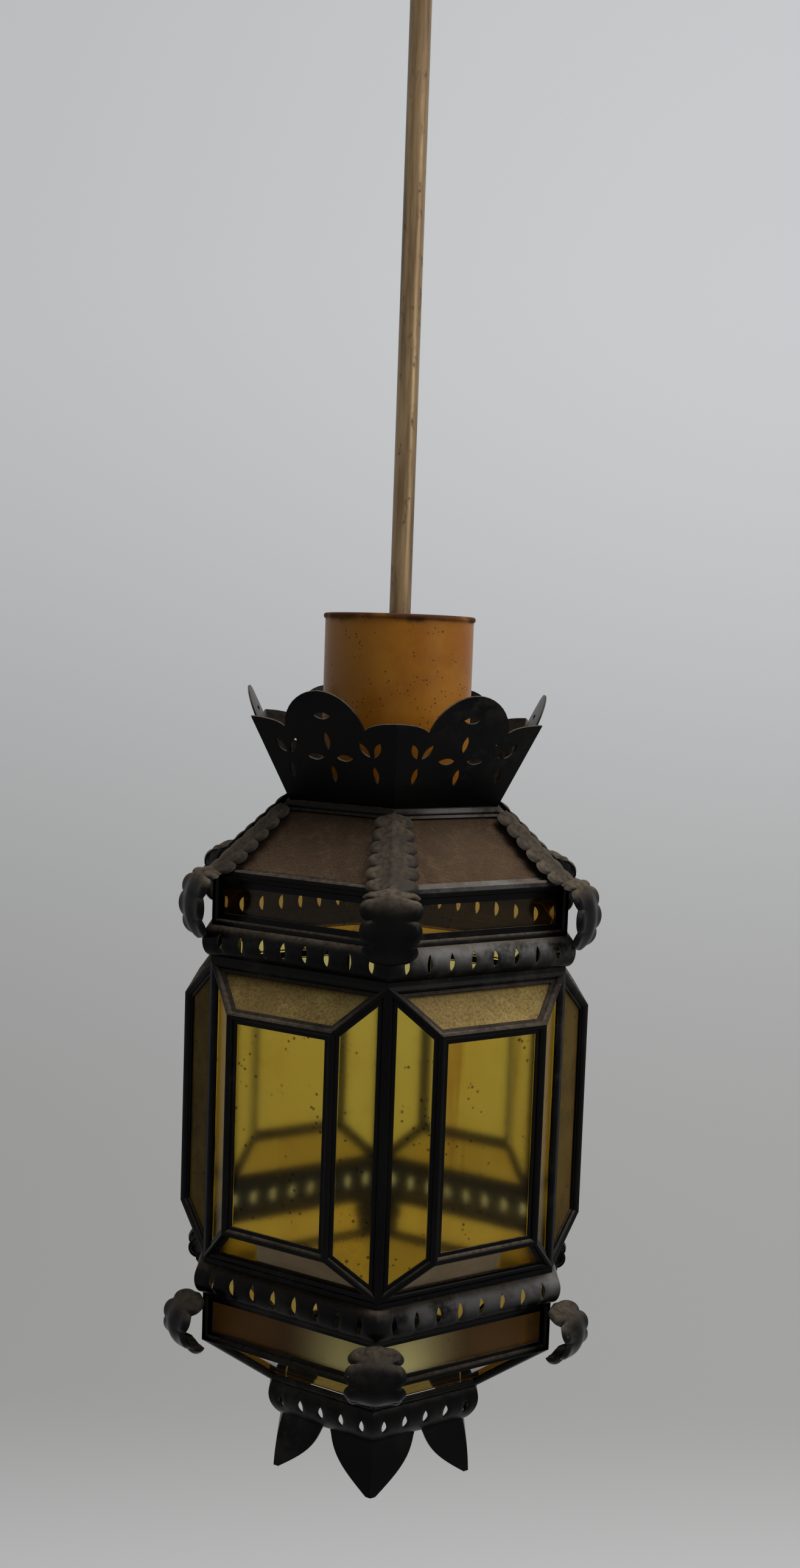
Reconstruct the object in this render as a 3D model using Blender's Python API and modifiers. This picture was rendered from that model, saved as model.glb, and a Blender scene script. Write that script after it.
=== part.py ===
"""Six-sided glazed tin lantern that hangs from the ceiling on a brass rod.

Metres, +Z up. The origin is where the rod's axis meets the ceiling, and a corner
of the hexagon faces -Y. The ochre cup on the rod slides up to hide the ceiling strap.
"""
import math

import bmesh
import bpy
import numpy
from mathutils import Matrix, Vector

# Sheet, glass and fits
SHEET = 0.0008            # tin sheet
GLASS = 0.0018            # window glass
GAP = 0.0003              # between pieces that touch
SLIDE_FIT = 0.0005        # cup's hole round the rod, on the radius

# Suspension
ROD_RADIUS = 0.0050
ROD_WALL = 0.0010
ROD_TAIL = 0.0090         # length of rod below the roof plate
STRAP_LENGTH = 0.056
STRAP_WIDTH = 0.016
STRAP_THICK = 0.0025
SCREW_SPACING = 0.040
SCREW_HOLE_RADIUS = 0.0023
NUT_FLATS = 0.016
NUT_HEIGHT = 0.0050

# Sliding cup
CUP_DROP = 0.300          # ceiling to the cup's rim when the cup is down
CUP_RADIUS = 0.0347
CUP_HEIGHT = 0.080
CUP_WALL = 0.0012
CUP_RIM_PROUD = 0.0008
CUP_RIM_HEIGHT = 0.0024
CUP_FOOT_RADIUS = 0.0030

# Lampholder
HOLDER_RADIUS = 0.0198
HOLDER_WALL = 0.0015
HOLDER_NECK_RADIUS = 0.0080
HOLDER_CAP_HEIGHT = 0.0170
HOLDER_SHELL_HEIGHT = 0.0340
HOLDER_LIP = 0.0008
SOCKET_RADIUS = 0.0136
SOCKET_WALL = 0.0016
SOCKET_LENGTH = 0.0220
SOCKET_DISC = 0.0064

# Hexagonal body: radii are at the corners
BODY_RADIUS = 0.0913
ROOF_TOP_RADIUS = 0.0560
BASE_RADIUS = 0.0552
ROOF_HEIGHT = 0.0320
BAND_HEIGHT = 0.0222
MOULD_HEIGHT = 0.0138
CAGE_HEIGHT = 0.1406
CAGE_STRIP = 0.0021       # plain strip above and below the bays
BASE_HEIGHT = 0.0272
RING_HEIGHT = 0.0166
FLANGE_IN = 0.0026        # width of the turned-in edges
EAVE_LIP = 0.0018         # upright edge round the foot of the roof

# Bays of the cage
BAY_BEVEL = 0.0192        # bevel's width seen from the front
BAY_OUT = 0.0136          # how far the face pane stands out

# Cames: half-round bead with a flange over the glass on each side
BEAD_WIDTH = 0.0044
BEAD_HEIGHT = 0.0018
PANE_LAP = 0.0009
BAND_PANE_LAP = 0.0020

# Pierced mouldings
MOULD_OUT = 0.0045        # how far the large mouldings bulge
MOULD_FLAT = 0.0076       # height of the pierced strip
RING_OUT = 0.0012
RING_IN = 0.0048          # how far the small moulding draws in at its foot
RING_FLAT = 0.0060
MOULD_SLOT_LENGTH = 0.0070
RING_SLOT_LENGTH = 0.0052
SLOT_WIDTH = 0.0022
SLOT_PITCH = 0.0112

# Crown
CROWN_BASE_RADIUS = 0.0546
CROWN_CORNER_RADIUS = 0.0750
CROWN_CORNER_HEIGHT = 0.0376
CROWN_PETAL_HEIGHT = 0.0495
CROWN_NOTCH_HEIGHT = 0.0330
CROWN_NOTCH_AT = 0.0204   # from the middle of the side to the notch
CROWN_SLOT_LENGTH = 0.0086
CROWN_SLOT_WIDTH = 0.0032
CROSS_HEIGHT = 0.0212     # centre of the four-slot cross
CROSS_REACH = 0.0074      # from the cross's centre to a slot's middle
PETAL_SLOT_DROP = 0.0105  # lone slot's distance below the petal's top
TREFOIL_AT = 0.0215       # from the middle of the side to a three-slot group
TREFOIL_HEIGHT = 0.0205
TREFOIL_REACH = 0.0060
TREFOIL_ARMS = (57, 123, 270)  # directions of its slots, in degrees
PETAL_ARC_STEPS = 10
SCALLOP_ARC_STEPS = 4

# Petal skirt
SKIRT_BAND = 0.0028       # hidden band behind the small moulding
PETAL_DROP = 0.0247
PETAL_TIP_RADIUS = 0.0531
PETAL_TIP_HALF = 0.0026
PETAL_SPACE = 0.0040      # between neighbouring petals at the top
PETAL_BELLY = 0.0045      # how much the petal's edge bows out
PETAL_EDGE_STEPS = 5

# Leaves
LEAF_START = 0.0030       # hip leaf's distance outside the roof's top corner
LEAF_TOP_HALF = 0.0082    # half-width at the top of the hip
LEAF_HALF_WIDTH = 0.0130  # half-width at the foot of the hip
LEAF_NECK_HALF = 0.0100
CURL_HALF_WIDTH = 0.0134
CURL_TIP_HALF = 0.0095
HIP_LOBE_DEPTH = 0.0022
LEAF_LOBE_DEPTH = 0.0024
HIP_LOBES = 6
CURL_LOBES = 4
LOBE_STEPS = 3
CURL_OUT = 0.0112         # the hip leaf's curl is part of an ellipse of these half-widths
CURL_TALL = 0.0170
CURL_START = 97           # directions of the curl's two ends, in degrees
CURL_END = -62
CURL_FOLD = 0.30          # how far the leaf's edges fold back, for each unit of width
LOWER_CURL_RADIUS = 0.0124
LOWER_CURL_END = 101      # direction of its upper end, in degrees, and of its lower end below
LOWER_CURL_LOBES = 4

SIDES = 6
TURN = 2 * math.pi / SIDES
CORNER_ANGLE = TURN / 2   # first corner, counted from +X
COS30 = math.cos(math.pi / SIDES)
TAN30 = math.tan(math.pi / SIDES)
ROUND_STEPS = 32
SMALL_STEPS = 20

# Levels, from the ceiling down
RIM_Z = -CUP_DROP
CUP_FOOT_Z = RIM_Z - CUP_HEIGHT
ROOF_Z = CUP_FOOT_Z - GAP - NUT_HEIGHT - GAP
EAVE_Z = ROOF_Z - ROOF_HEIGHT
UPPER_BAND_Z = EAVE_Z - GAP
UPPER_MOULD_Z = UPPER_BAND_Z - BAND_HEIGHT - GAP
CAGE_Z = UPPER_MOULD_Z - MOULD_HEIGHT - GAP
LOWER_MOULD_Z = CAGE_Z - CAGE_HEIGHT - GAP
LOWER_BAND_Z = LOWER_MOULD_Z - MOULD_HEIGHT - GAP
SLOPE_Z = LOWER_BAND_Z - BAND_HEIGHT
RING_Z = SLOPE_Z - BASE_HEIGHT - GAP
RING_FOOT_Z = RING_Z - RING_HEIGHT
HOLDER_Z = ROOF_Z - SHEET - GAP

# Glazing: how far the glass lies behind the crest of the cames, and how far from their edges
PANE_DEPTH = BEAD_HEIGHT + SHEET + GAP
PANE_EDGE = (PANE_DEPTH + GLASS) * TAN30 + GAP

for old in list(bpy.data.objects):
    bpy.data.objects.remove(old)

lantern = bpy.data.collections.new("ceiling_lantern")
bpy.context.scene.collection.children.link(lantern)
ceiling_point = bpy.data.objects.new("ceiling_point", None)
lantern.objects.link(ceiling_point)


def material(name, colour, roughness, metallic, transmission=0.0):
    """Principled material of one finish."""
    made = bpy.data.materials.new(name)
    made.use_nodes = True
    shader = made.node_tree.nodes["Principled BSDF"]
    shader.inputs["Base Color"].default_value = (*colour, 1.0)
    shader.inputs["Roughness"].default_value = roughness
    shader.inputs["Metallic"].default_value = metallic
    shader.inputs["Transmission Weight"].default_value = transmission
    return made


BLACK_TIN = material("black_tin", (0.016, 0.015, 0.014), 0.45, 0.3)
AMBER_GLASS = material("amber_glass", (0.55, 0.36, 0.05), 0.15, 0.0, 0.8)
DUSTY_GLASS = material("dusty_glass", (0.10, 0.07, 0.045), 0.7, 0.0)
OCHRE_CUP = material("ochre_cup", (0.42, 0.17, 0.025), 0.3, 0.0)
BRASS = material("aged_brass", (0.30, 0.19, 0.07), 0.4, 0.9)
STEEL = material("plated_steel", (0.35, 0.34, 0.32), 0.4, 1.0)
BAKELITE = material("bakelite", (0.02, 0.015, 0.012), 0.35, 0.0)
PORCELAIN = material("porcelain", (0.75, 0.73, 0.68), 0.25, 0.0)


def place(name, mesh, finish, level=0.0, turn=0.0, smooth=False):
    """Object for one piece, at its level on the lantern's axis."""
    if not mesh.materials:
        mesh.materials.append(finish)
    if smooth:
        mesh.shade_smooth()
        mesh.set_sharp_from_angle(angle=math.radians(35))
    piece = bpy.data.objects.new(name, mesh)
    piece.location = (0.0, 0.0, level)
    piece.rotation_euler = (0.0, 0.0, turn)
    piece.parent = ceiling_point
    lantern.objects.link(piece)
    return piece


def finish_mesh(name, bm, weld=0.00001):
    """Mesh from a bmesh, welded and with its faces pointing out."""
    bmesh.ops.remove_doubles(bm, verts=bm.verts, dist=weld)
    bmesh.ops.recalc_face_normals(bm, faces=bm.faces)
    mesh = bpy.data.meshes.new(name)
    bm.to_mesh(mesh)
    bm.free()
    return mesh


def thicken(piece, thickness):
    """Sheet or glass thickness behind the surface that shows."""
    solid = piece.modifiers.new("thickness", "SOLIDIFY")
    solid.thickness = thickness
    solid.offset = -1.0
    solid.use_even_offset = True


def flat_outline(outlines, thickness=0.0):
    """Mesh of a flat outline in XY; the outlines after the first are holes."""
    curve = bpy.data.curves.new("outline", "CURVE")
    curve.dimensions = "2D"
    curve.fill_mode = "BOTH"
    curve.extrude = thickness / 2
    for points in outlines:
        spline = curve.splines.new("POLY")
        spline.points.add(len(points) - 1)
        for point, (x, y) in zip(spline.points, points):
            point.co = (x, y, 0.0, 1.0)
        spline.use_cyclic_u = True
    carrier = bpy.data.objects.new("outline", curve)
    bpy.context.scene.collection.objects.link(carrier)
    graph = bpy.context.evaluated_depsgraph_get()
    mesh = bpy.data.meshes.new_from_object(carrier.evaluated_get(graph))
    bpy.data.objects.remove(carrier)
    return mesh


def circle(radius, steps, centre=(0.0, 0.0)):
    """Points of a circle, the first on +Y."""
    turns = [2 * math.pi * index / steps for index in range(steps)]
    return [(centre[0] - radius * math.sin(a), centre[1] + radius * math.cos(a)) for a in turns]


def turned(name, profile, finish, level, steps=SMALL_STEPS):
    """Turned piece from a closed profile of (radius, height) that runs down its outer side."""
    mesh = bpy.data.meshes.new(name)
    points = [(radius, 0.0, height) for radius, height in profile]
    edges = [(index, (index + 1) % len(points)) for index in range(len(points))]
    if profile[0][0] == 0.0:
        edges.pop()
    mesh.from_pydata(points, edges, [])
    piece = place(name, mesh, finish, level, smooth=True)
    screw = piece.modifiers.new("turn", "SCREW")
    screw.axis = "Z"
    screw.steps = steps
    screw.render_steps = steps
    screw.use_merge_vertices = True
    screw.merge_threshold = 0.00001
    return piece


def hex_ring(bm, radius, z):
    """Edges of one hexagon round the axis."""
    made = bmesh.ops.create_circle(bm, segments=SIDES, radius=radius, matrix=Matrix.Translation((0, 0, z)))
    return list({edge for vert in made["verts"] for edge in vert.link_edges})


def hex_walls(bm, rings, skip=()):
    """Six-sided sheet through hexagons given as (corner radius, height); skipped walls stay open."""
    walls = []
    for index in range(len(rings) - 1):
        if index in skip:
            walls.append([])
            continue
        edges = hex_ring(bm, *rings[index]) + hex_ring(bm, *rings[index + 1])
        walls.append(bmesh.ops.bridge_loops(bm, edges=edges)["faces"])
    live = [face for wall in walls for face in wall]
    bmesh.ops.remove_doubles(bm, verts=bm.verts, dist=0.00001)
    bmesh.ops.recalc_face_normals(bm, faces=live)
    return walls


def wall_frame(lower, upper, side):
    """Matrix that lays a flat outline on one side's wall: x along it, y up it, z outward."""
    out = Vector((math.cos(side * TURN), math.sin(side * TURN), 0.0))
    along = Vector((-out.y, out.x, 0.0))
    foot = out * lower[0] * COS30 + Vector((0.0, 0.0, lower[1]))
    head = out * upper[0] * COS30 + Vector((0.0, 0.0, upper[1]))
    up = (head - foot).normalized()
    face = along.cross(up)
    frame = Matrix((along, up, face)).transposed().to_4x4()
    frame.translation = foot
    return frame


def pierced_walls(bm, lower, upper, outlines):
    """The six walls between two hexagons, each cut to the same outline with holes."""
    for side in range(SIDES):
        sheet = flat_outline(outlines)
        sheet.transform(wall_frame(lower, upper, side))
        bm.from_mesh(sheet)
        bpy.data.meshes.remove(sheet)


def wall_length(lower, upper):
    """Length up a wall, along its slope."""
    return math.hypot((upper[0] - lower[0]) * COS30, upper[1] - lower[1])


def wall_outline(lower, upper):
    """Plain four-cornered outline of a wall."""
    length = wall_length(lower, upper)
    return [(-lower[0] / 2, 0.0), (lower[0] / 2, 0.0), (upper[0] / 2, length), (-upper[0] / 2, length)]


def almond(length, width, centre, angle, steps):
    """Pointed slot along the given direction."""
    points = []
    for way in (1, -1):
        for step in range(steps):
            along = way * (step / steps - 0.5)
            points.append((along * length, way * width / 2 * (1 - (2 * along) ** 2)))
    turn = Matrix.Rotation(angle, 2)
    spun = [turn @ Vector(point) for point in points]
    return [(centre[0] + point.x, centre[1] + point.y) for point in spun]


def set_cames(bm, faces, lap=PANE_LAP):
    """Round each face off into half-round beads and flanges, and open its window."""
    shoulder = 0.4
    drop = 0.2
    half = BEAD_WIDTH / 2
    rounds = ((half * shoulder, -BEAD_HEIGHT * drop), (half * (1 - shoulder), -BEAD_HEIGHT * (1 - drop)),
              (PANE_EDGE + lap - half, 0.0))
    for width, depth in rounds:
        bmesh.ops.inset_individual(bm, faces=faces, thickness=width, depth=depth, use_even_offset=True)
    bmesh.ops.delete(bm, geom=faces, context="FACES")


def trim_back(bm, faces):
    """Trim faces back from the came crests, to the edges of their glass."""
    bmesh.ops.inset_individual(bm, faces=faces, thickness=PANE_EDGE, use_even_offset=True)


def keep_only(bm, faces):
    """Delete every other face."""
    rest = [face for face in bm.faces if face not in faces]
    bmesh.ops.delete(bm, geom=rest, context="FACES")


def sink(bm, depth):
    """Move the faces straight back by a depth, so that mitred faces still meet."""
    bm.normal_update()
    moves = []
    for vert in bm.verts:
        normals = numpy.array([face.normal for face in vert.link_faces])
        moves.append(numpy.linalg.lstsq(normals, numpy.full(len(normals), -depth), rcond=None)[0])
    for vert, move in zip(bm.verts, moves):
        vert.co += Vector(move)


def glaze(name, bm, finish, level, turn=0.0):
    """Glass behind the cames, from the faces left in a bmesh."""
    sink(bm, PANE_DEPTH)
    mesh = bpy.data.meshes.new(name)
    bm.to_mesh(mesh)
    bm.free()
    pane = place(name, mesh, finish, level, turn)
    thicken(pane, GLASS)


def side_faces(wall):
    """The face of a six-sided wall that looks along +X, on which the repeated panes are drawn."""
    return [max(wall, key=lambda face: face.calc_center_median().x)]


def wall_panes(name, rings, index, finish, level):
    """Six separate panes for one row of walls."""
    for side in range(SIDES):
        bm = bmesh.new()
        glass = side_faces(hex_walls(bm, rings)[index])
        trim_back(bm, glass)
        keep_only(bm, glass)
        glaze(f"{name}_{side + 1}", bm, finish, level, side * TURN)


def build_suspension():
    """Ceiling strap, nuts, rod and the sliding cup."""
    strap_z = -STRAP_THICK / 2
    bore = ROD_RADIUS + GAP
    end = STRAP_LENGTH / 2
    corner_cut = STRAP_WIDTH / 4
    outline = []
    for x_way, y_way in ((1, 1), (-1, 1), (-1, -1), (1, -1)):
        tip = (x_way * end, y_way * (STRAP_WIDTH / 2 - corner_cut))
        edge = (x_way * (end - corner_cut), y_way * STRAP_WIDTH / 2)
        outline += [tip, edge] if x_way == y_way else [edge, tip]
    holes = [circle(SCREW_HOLE_RADIUS, 12, (way * SCREW_SPACING / 2, 0.0)) for way in (-1, 1)]
    strap = flat_outline([outline, circle(bore, SMALL_STEPS)] + holes, STRAP_THICK)
    bm = bmesh.new()
    bm.from_mesh(strap)
    place("ceiling_strap", finish_mesh("ceiling_strap", bm), STEEL, strap_z)

    nut_tops = {"ceiling_lock_nut": -STRAP_THICK - GAP, "rod_nut": CUP_FOOT_Z - GAP}
    for name, top in nut_tops.items():
        bm = bmesh.new()
        bm.from_mesh(flat_outline([circle(NUT_FLATS / 2 / COS30, SIDES), circle(bore, SMALL_STEPS)], NUT_HEIGHT))
        place(name, finish_mesh(name, bm), STEEL, top - NUT_HEIGHT / 2)

    foot = ROOF_Z - SHEET - ROD_TAIL
    inner = ROD_RADIUS - ROD_WALL
    turned("suspension_rod", [(ROD_RADIUS, -GAP), (ROD_RADIUS, foot), (inner, foot), (inner, -GAP)], BRASS, 0.0)

    rim = CUP_RADIUS + CUP_RIM_PROUD
    inside = CUP_RADIUS - CUP_WALL
    floor = -CUP_HEIGHT + CUP_WALL
    profile = [(CUP_RADIUS, 0.0), (rim, -CUP_RIM_HEIGHT * 0.25), (rim, -CUP_RIM_HEIGHT * 0.75),
               (CUP_RADIUS, -CUP_RIM_HEIGHT)]
    for step in range(4):
        angle = step / 3 * math.pi / 2
        profile.append((CUP_RADIUS - CUP_FOOT_RADIUS * (1 - math.cos(angle)),
                        -CUP_HEIGHT + CUP_FOOT_RADIUS * (1 - math.sin(angle))))
    hole = ROD_RADIUS + SLIDE_FIT
    profile += [(hole, -CUP_HEIGHT), (hole, floor), (inside - CUP_FOOT_RADIUS, floor),
                (inside, floor + CUP_FOOT_RADIUS), (inside, 0.0)]
    turned("canopy_cup", profile, OCHRE_CUP, RIM_Z, ROUND_STEPS)


def build_lampholder():
    """Cap, shell and porcelain insert of the lampholder under the roof plate."""
    bore = ROD_RADIUS + GAP
    inner = HOLDER_RADIUS - HOLDER_WALL
    neck = HOLDER_CAP_HEIGHT * 0.35
    shoulder = HOLDER_CAP_HEIGHT * 0.85
    cap = [(HOLDER_NECK_RADIUS, 0.0), (HOLDER_NECK_RADIUS, -neck), (HOLDER_RADIUS * 0.75, -neck * 1.5),
           (HOLDER_RADIUS, -shoulder), (HOLDER_RADIUS, -HOLDER_CAP_HEIGHT), (inner, -HOLDER_CAP_HEIGHT),
           (inner, -shoulder - HOLDER_WALL / 2), (inner * 0.72, -ROD_TAIL - HOLDER_WALL),
           (bore, -ROD_TAIL - HOLDER_WALL), (bore, 0.0)]
    turned("lampholder_cap", cap, BAKELITE, HOLDER_Z)
    top = -HOLDER_CAP_HEIGHT - GAP
    foot = top - HOLDER_SHELL_HEIGHT
    lip = HOLDER_RADIUS + HOLDER_LIP
    shell = [(HOLDER_RADIUS, top), (HOLDER_RADIUS, foot + 4 * HOLDER_LIP), (lip, foot + 3 * HOLDER_LIP),
             (lip, foot), (inner, foot), (inner, top)]
    turned("lampholder_shell", shell, BAKELITE, HOLDER_Z)
    disc = inner - GAP
    sleeve = SOCKET_RADIUS + SOCKET_WALL
    disc_foot = top - SOCKET_DISC
    sleeve_foot = disc_foot - SOCKET_LENGTH
    contact = SOCKET_RADIUS / 3
    insert = [(0.0, top), (disc, top), (disc, disc_foot), (sleeve, disc_foot), (sleeve, sleeve_foot),
              (SOCKET_RADIUS, sleeve_foot), (SOCKET_RADIUS, disc_foot), (contact, disc_foot),
              (contact, disc_foot - SOCKET_WALL), (0.0, disc_foot - SOCKET_WALL)]
    turned("lampholder_insert", insert, PORCELAIN, HOLDER_Z)


def crown_outline(lower, upper):
    """One side of the crown: half a scallop at each corner and a petal between them."""
    stretch = wall_length(lower, upper) / CROWN_CORNER_HEIGHT
    notch = CROWN_NOTCH_HEIGHT * stretch
    corner = CROWN_CORNER_HEIGHT * stretch
    peak = CROWN_PETAL_HEIGHT * stretch
    outline = [(-lower[0] / 2, 0.0), (lower[0] / 2, 0.0)]
    width = upper[0] / 2 - CROWN_NOTCH_AT
    for step in range(SCALLOP_ARC_STEPS):
        angle = step / SCALLOP_ARC_STEPS * math.pi / 2
        outline.append((upper[0] / 2 - width * math.sin(angle), notch + (corner - notch) * math.cos(angle)))
    rise = peak - notch
    arc = (CROWN_NOTCH_AT ** 2 + rise ** 2) / (2 * rise)
    spread = math.asin(CROWN_NOTCH_AT / arc)
    for step in range(PETAL_ARC_STEPS + 1):
        angle = spread * (1 - 2 * step / PETAL_ARC_STEPS)
        outline.append((arc * math.sin(angle), peak - arc + arc * math.cos(angle)))
    for step in range(SCALLOP_ARC_STEPS - 1, -1, -1):
        angle = step / SCALLOP_ARC_STEPS * math.pi / 2
        outline.append((-upper[0] / 2 + width * math.sin(angle), notch + (corner - notch) * math.cos(angle)))
    return outline


def crown_slots(stretch):
    """Cross, lone slot and two three-slot groups of one crown side."""
    def slot(x, height, angle):
        return almond(CROWN_SLOT_LENGTH, CROWN_SLOT_WIDTH, (x, height * stretch), angle, 3)

    slots = [slot(0.0, CROWN_PETAL_HEIGHT - PETAL_SLOT_DROP, 0.0)]
    for quarter in range(4):
        angle = quarter * math.pi / 2
        slots.append(slot(CROSS_REACH * math.cos(angle), CROSS_HEIGHT + CROSS_REACH * math.sin(angle), angle))
    for way in (-1, 1):
        for arm in TREFOIL_ARMS:
            angle = math.radians(arm)
            x = way * TREFOIL_AT + TREFOIL_REACH * math.cos(angle)
            slots.append(slot(x, TREFOIL_HEIGHT + TREFOIL_REACH * math.sin(angle), angle))
    return slots


def build_crown():
    """Pierced, scalloped crown standing on the roof plate."""
    lower = (CROWN_BASE_RADIUS, GAP)
    upper = (CROWN_CORNER_RADIUS, GAP + CROWN_CORNER_HEIGHT)
    bm = bmesh.new()
    hex_walls(bm, [lower, (CROWN_BASE_RADIUS - FLANGE_IN, GAP)])
    slots = crown_slots(wall_length(lower, upper) / CROWN_CORNER_HEIGHT)
    pierced_walls(bm, lower, upper, [crown_outline(lower, upper)] + slots)
    crown = place("crown", finish_mesh("crown", bm), BLACK_TIN, ROOF_Z)
    thicken(crown, SHEET)


ROOF_RINGS = [(ROOF_TOP_RADIUS, 0.0), (BODY_RADIUS, EAVE_LIP - ROOF_HEIGHT), (BODY_RADIUS, -ROOF_HEIGHT)]
BAND_RINGS = [(BODY_RADIUS - FLANGE_IN, 0.0), (BODY_RADIUS, 0.0), (BODY_RADIUS, -BAND_HEIGHT),
              (BODY_RADIUS - FLANGE_IN, -BAND_HEIGHT)]
CAGE_RINGS = [(BODY_RADIUS - FLANGE_IN, 0.0), (BODY_RADIUS, 0.0), (BODY_RADIUS, -CAGE_STRIP),
              (BODY_RADIUS, CAGE_STRIP - CAGE_HEIGHT), (BODY_RADIUS, -CAGE_HEIGHT),
              (BODY_RADIUS - FLANGE_IN, -CAGE_HEIGHT)]
BASE_RINGS = BAND_RINGS[:3] + [(BASE_RADIUS, -BAND_HEIGHT - BASE_HEIGHT),
                               (BASE_RADIUS - FLANGE_IN, -BAND_HEIGHT - BASE_HEIGHT)]


def build_roof():
    """Roof frame with the plate that the rod is clamped to, and its six panes."""
    bm = bmesh.new()
    walls = hex_walls(bm, ROOF_RINGS)
    set_cames(bm, walls[0])
    plate = flat_outline([circle(ROOF_TOP_RADIUS, SIDES), circle(ROD_RADIUS + GAP, SMALL_STEPS)])
    bm.from_mesh(plate)
    bpy.data.meshes.remove(plate)
    roof = place("roof_frame", finish_mesh("roof_frame", bm), BLACK_TIN, ROOF_Z)
    thicken(roof, SHEET)
    wall_panes("roof_pane", ROOF_RINGS, 0, DUSTY_GLASS, ROOF_Z)


def build_bands():
    """Upper band, and the base frame that joins the lower band to the sloping underside."""
    bm = bmesh.new()
    walls = hex_walls(bm, BAND_RINGS)
    set_cames(bm, walls[1], BAND_PANE_LAP)
    band = place("upper_band_frame", finish_mesh("upper_band_frame", bm), BLACK_TIN, UPPER_BAND_Z)
    thicken(band, SHEET)
    wall_panes("upper_band_pane", BAND_RINGS, 1, AMBER_GLASS, UPPER_BAND_Z)

    bm = bmesh.new()
    walls = hex_walls(bm, BASE_RINGS)
    set_cames(bm, walls[1] + walls[2])
    base = place("base_frame", finish_mesh("base_frame", bm), BLACK_TIN, LOWER_BAND_Z)
    thicken(base, SHEET)
    wall_panes("lower_band_pane", BASE_RINGS, 1, AMBER_GLASS, LOWER_BAND_Z)
    upper, lower = Vector(BASE_RINGS[2]), Vector(BASE_RINGS[3])
    share = PANE_EDGE / wall_length(lower, upper)
    bm = bmesh.new()
    hex_walls(bm, [upper.lerp(lower, share), lower.lerp(upper, share)])
    glaze("base_glazing", bm, AMBER_GLASS, LOWER_BAND_Z)


def push_bays(bm, faces, share=1.0):
    """Draw each side out by a share of a bay's bevels, and return the bevels."""
    return bmesh.ops.inset_individual(bm, faces=faces, thickness=BAY_BEVEL * share, depth=BAY_OUT * share,
                                      use_even_offset=True)["faces"]


def build_cage():
    """Came cage of six bays, with a face pane and a frame of four bevel panes in each."""
    bm = bmesh.new()
    sides = hex_walls(bm, CAGE_RINGS)[2]
    bevels = push_bays(bm, sides)
    set_cames(bm, sides + bevels)
    cage = place("body_cage", finish_mesh("body_cage", bm), BLACK_TIN, CAGE_Z)
    thicken(cage, SHEET)
    trim = PANE_EDGE / math.hypot(BAY_BEVEL, BAY_OUT)
    for side in range(SIDES):
        bm = bmesh.new()
        glass = side_faces(hex_walls(bm, CAGE_RINGS)[2])
        push_bays(bm, glass)
        trim_back(bm, glass)
        keep_only(bm, glass)
        glaze(f"face_pane_{side + 1}", bm, AMBER_GLASS, CAGE_Z, side * TURN)
        bm = bmesh.new()
        glass = side_faces(hex_walls(bm, CAGE_RINGS)[2])
        push_bays(bm, glass, trim)
        keep_only(bm, push_bays(bm, glass, 1.0 - 2.0 * trim))
        glaze(f"bevel_panes_{side + 1}", bm, AMBER_GLASS, CAGE_Z, side * TURN)


def slot_row(lower, upper, length):
    """As many upright almond slots as one wall has room for."""
    count = int(min(lower[0], upper[0]) / SLOT_PITCH)
    middle = wall_length(lower, upper) / 2
    return [almond(length, SLOT_WIDTH, ((index - (count - 1) / 2) * SLOT_PITCH, middle), math.pi / 2, 2)
            for index in range(count)]


def moulding(name, rings, pierced, slot_length, level):
    """Hollow six-sided moulding with a row of slots in one of its walls."""
    bm = bmesh.new()
    hex_walls(bm, rings, skip=(pierced,))
    upper, lower = rings[pierced], rings[pierced + 1]
    pierced_walls(bm, lower, upper, [wall_outline(lower, upper)] + slot_row(lower, upper, slot_length))
    thicken(place(name, finish_mesh(name, bm), BLACK_TIN, level), SHEET)


def build_mouldings():
    """Two large pierced mouldings and the small one round the open foot."""
    shoulder = (MOULD_HEIGHT - MOULD_FLAT) / 2
    swell = BODY_RADIUS + MOULD_OUT * 0.68
    crest = BODY_RADIUS + MOULD_OUT
    upper_half = [(BODY_RADIUS - FLANGE_IN, 0.0), (BODY_RADIUS, 0.0), (swell, -shoulder * 0.38), (crest, -shoulder)]
    lower_half = [(radius, -MOULD_HEIGHT - z) for radius, z in reversed(upper_half)]
    for name, level in (("upper_moulding", UPPER_MOULD_Z), ("lower_moulding", LOWER_MOULD_Z)):
        moulding(name, upper_half + lower_half, len(upper_half) - 1, MOULD_SLOT_LENGTH, level)

    crest = BASE_RADIUS + RING_OUT
    head = (RING_HEIGHT - RING_FLAT) / 2
    rings = [(BASE_RADIUS - FLANGE_IN, 0.0), (BASE_RADIUS, 0.0), (crest, -head), (crest, -head - RING_FLAT),
             (BASE_RADIUS - RING_IN * 0.3, -RING_HEIGHT + head * 0.4), (BASE_RADIUS - RING_IN, -RING_HEIGHT)]
    moulding("base_moulding", rings, 2, RING_SLOT_LENGTH, RING_Z)


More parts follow.
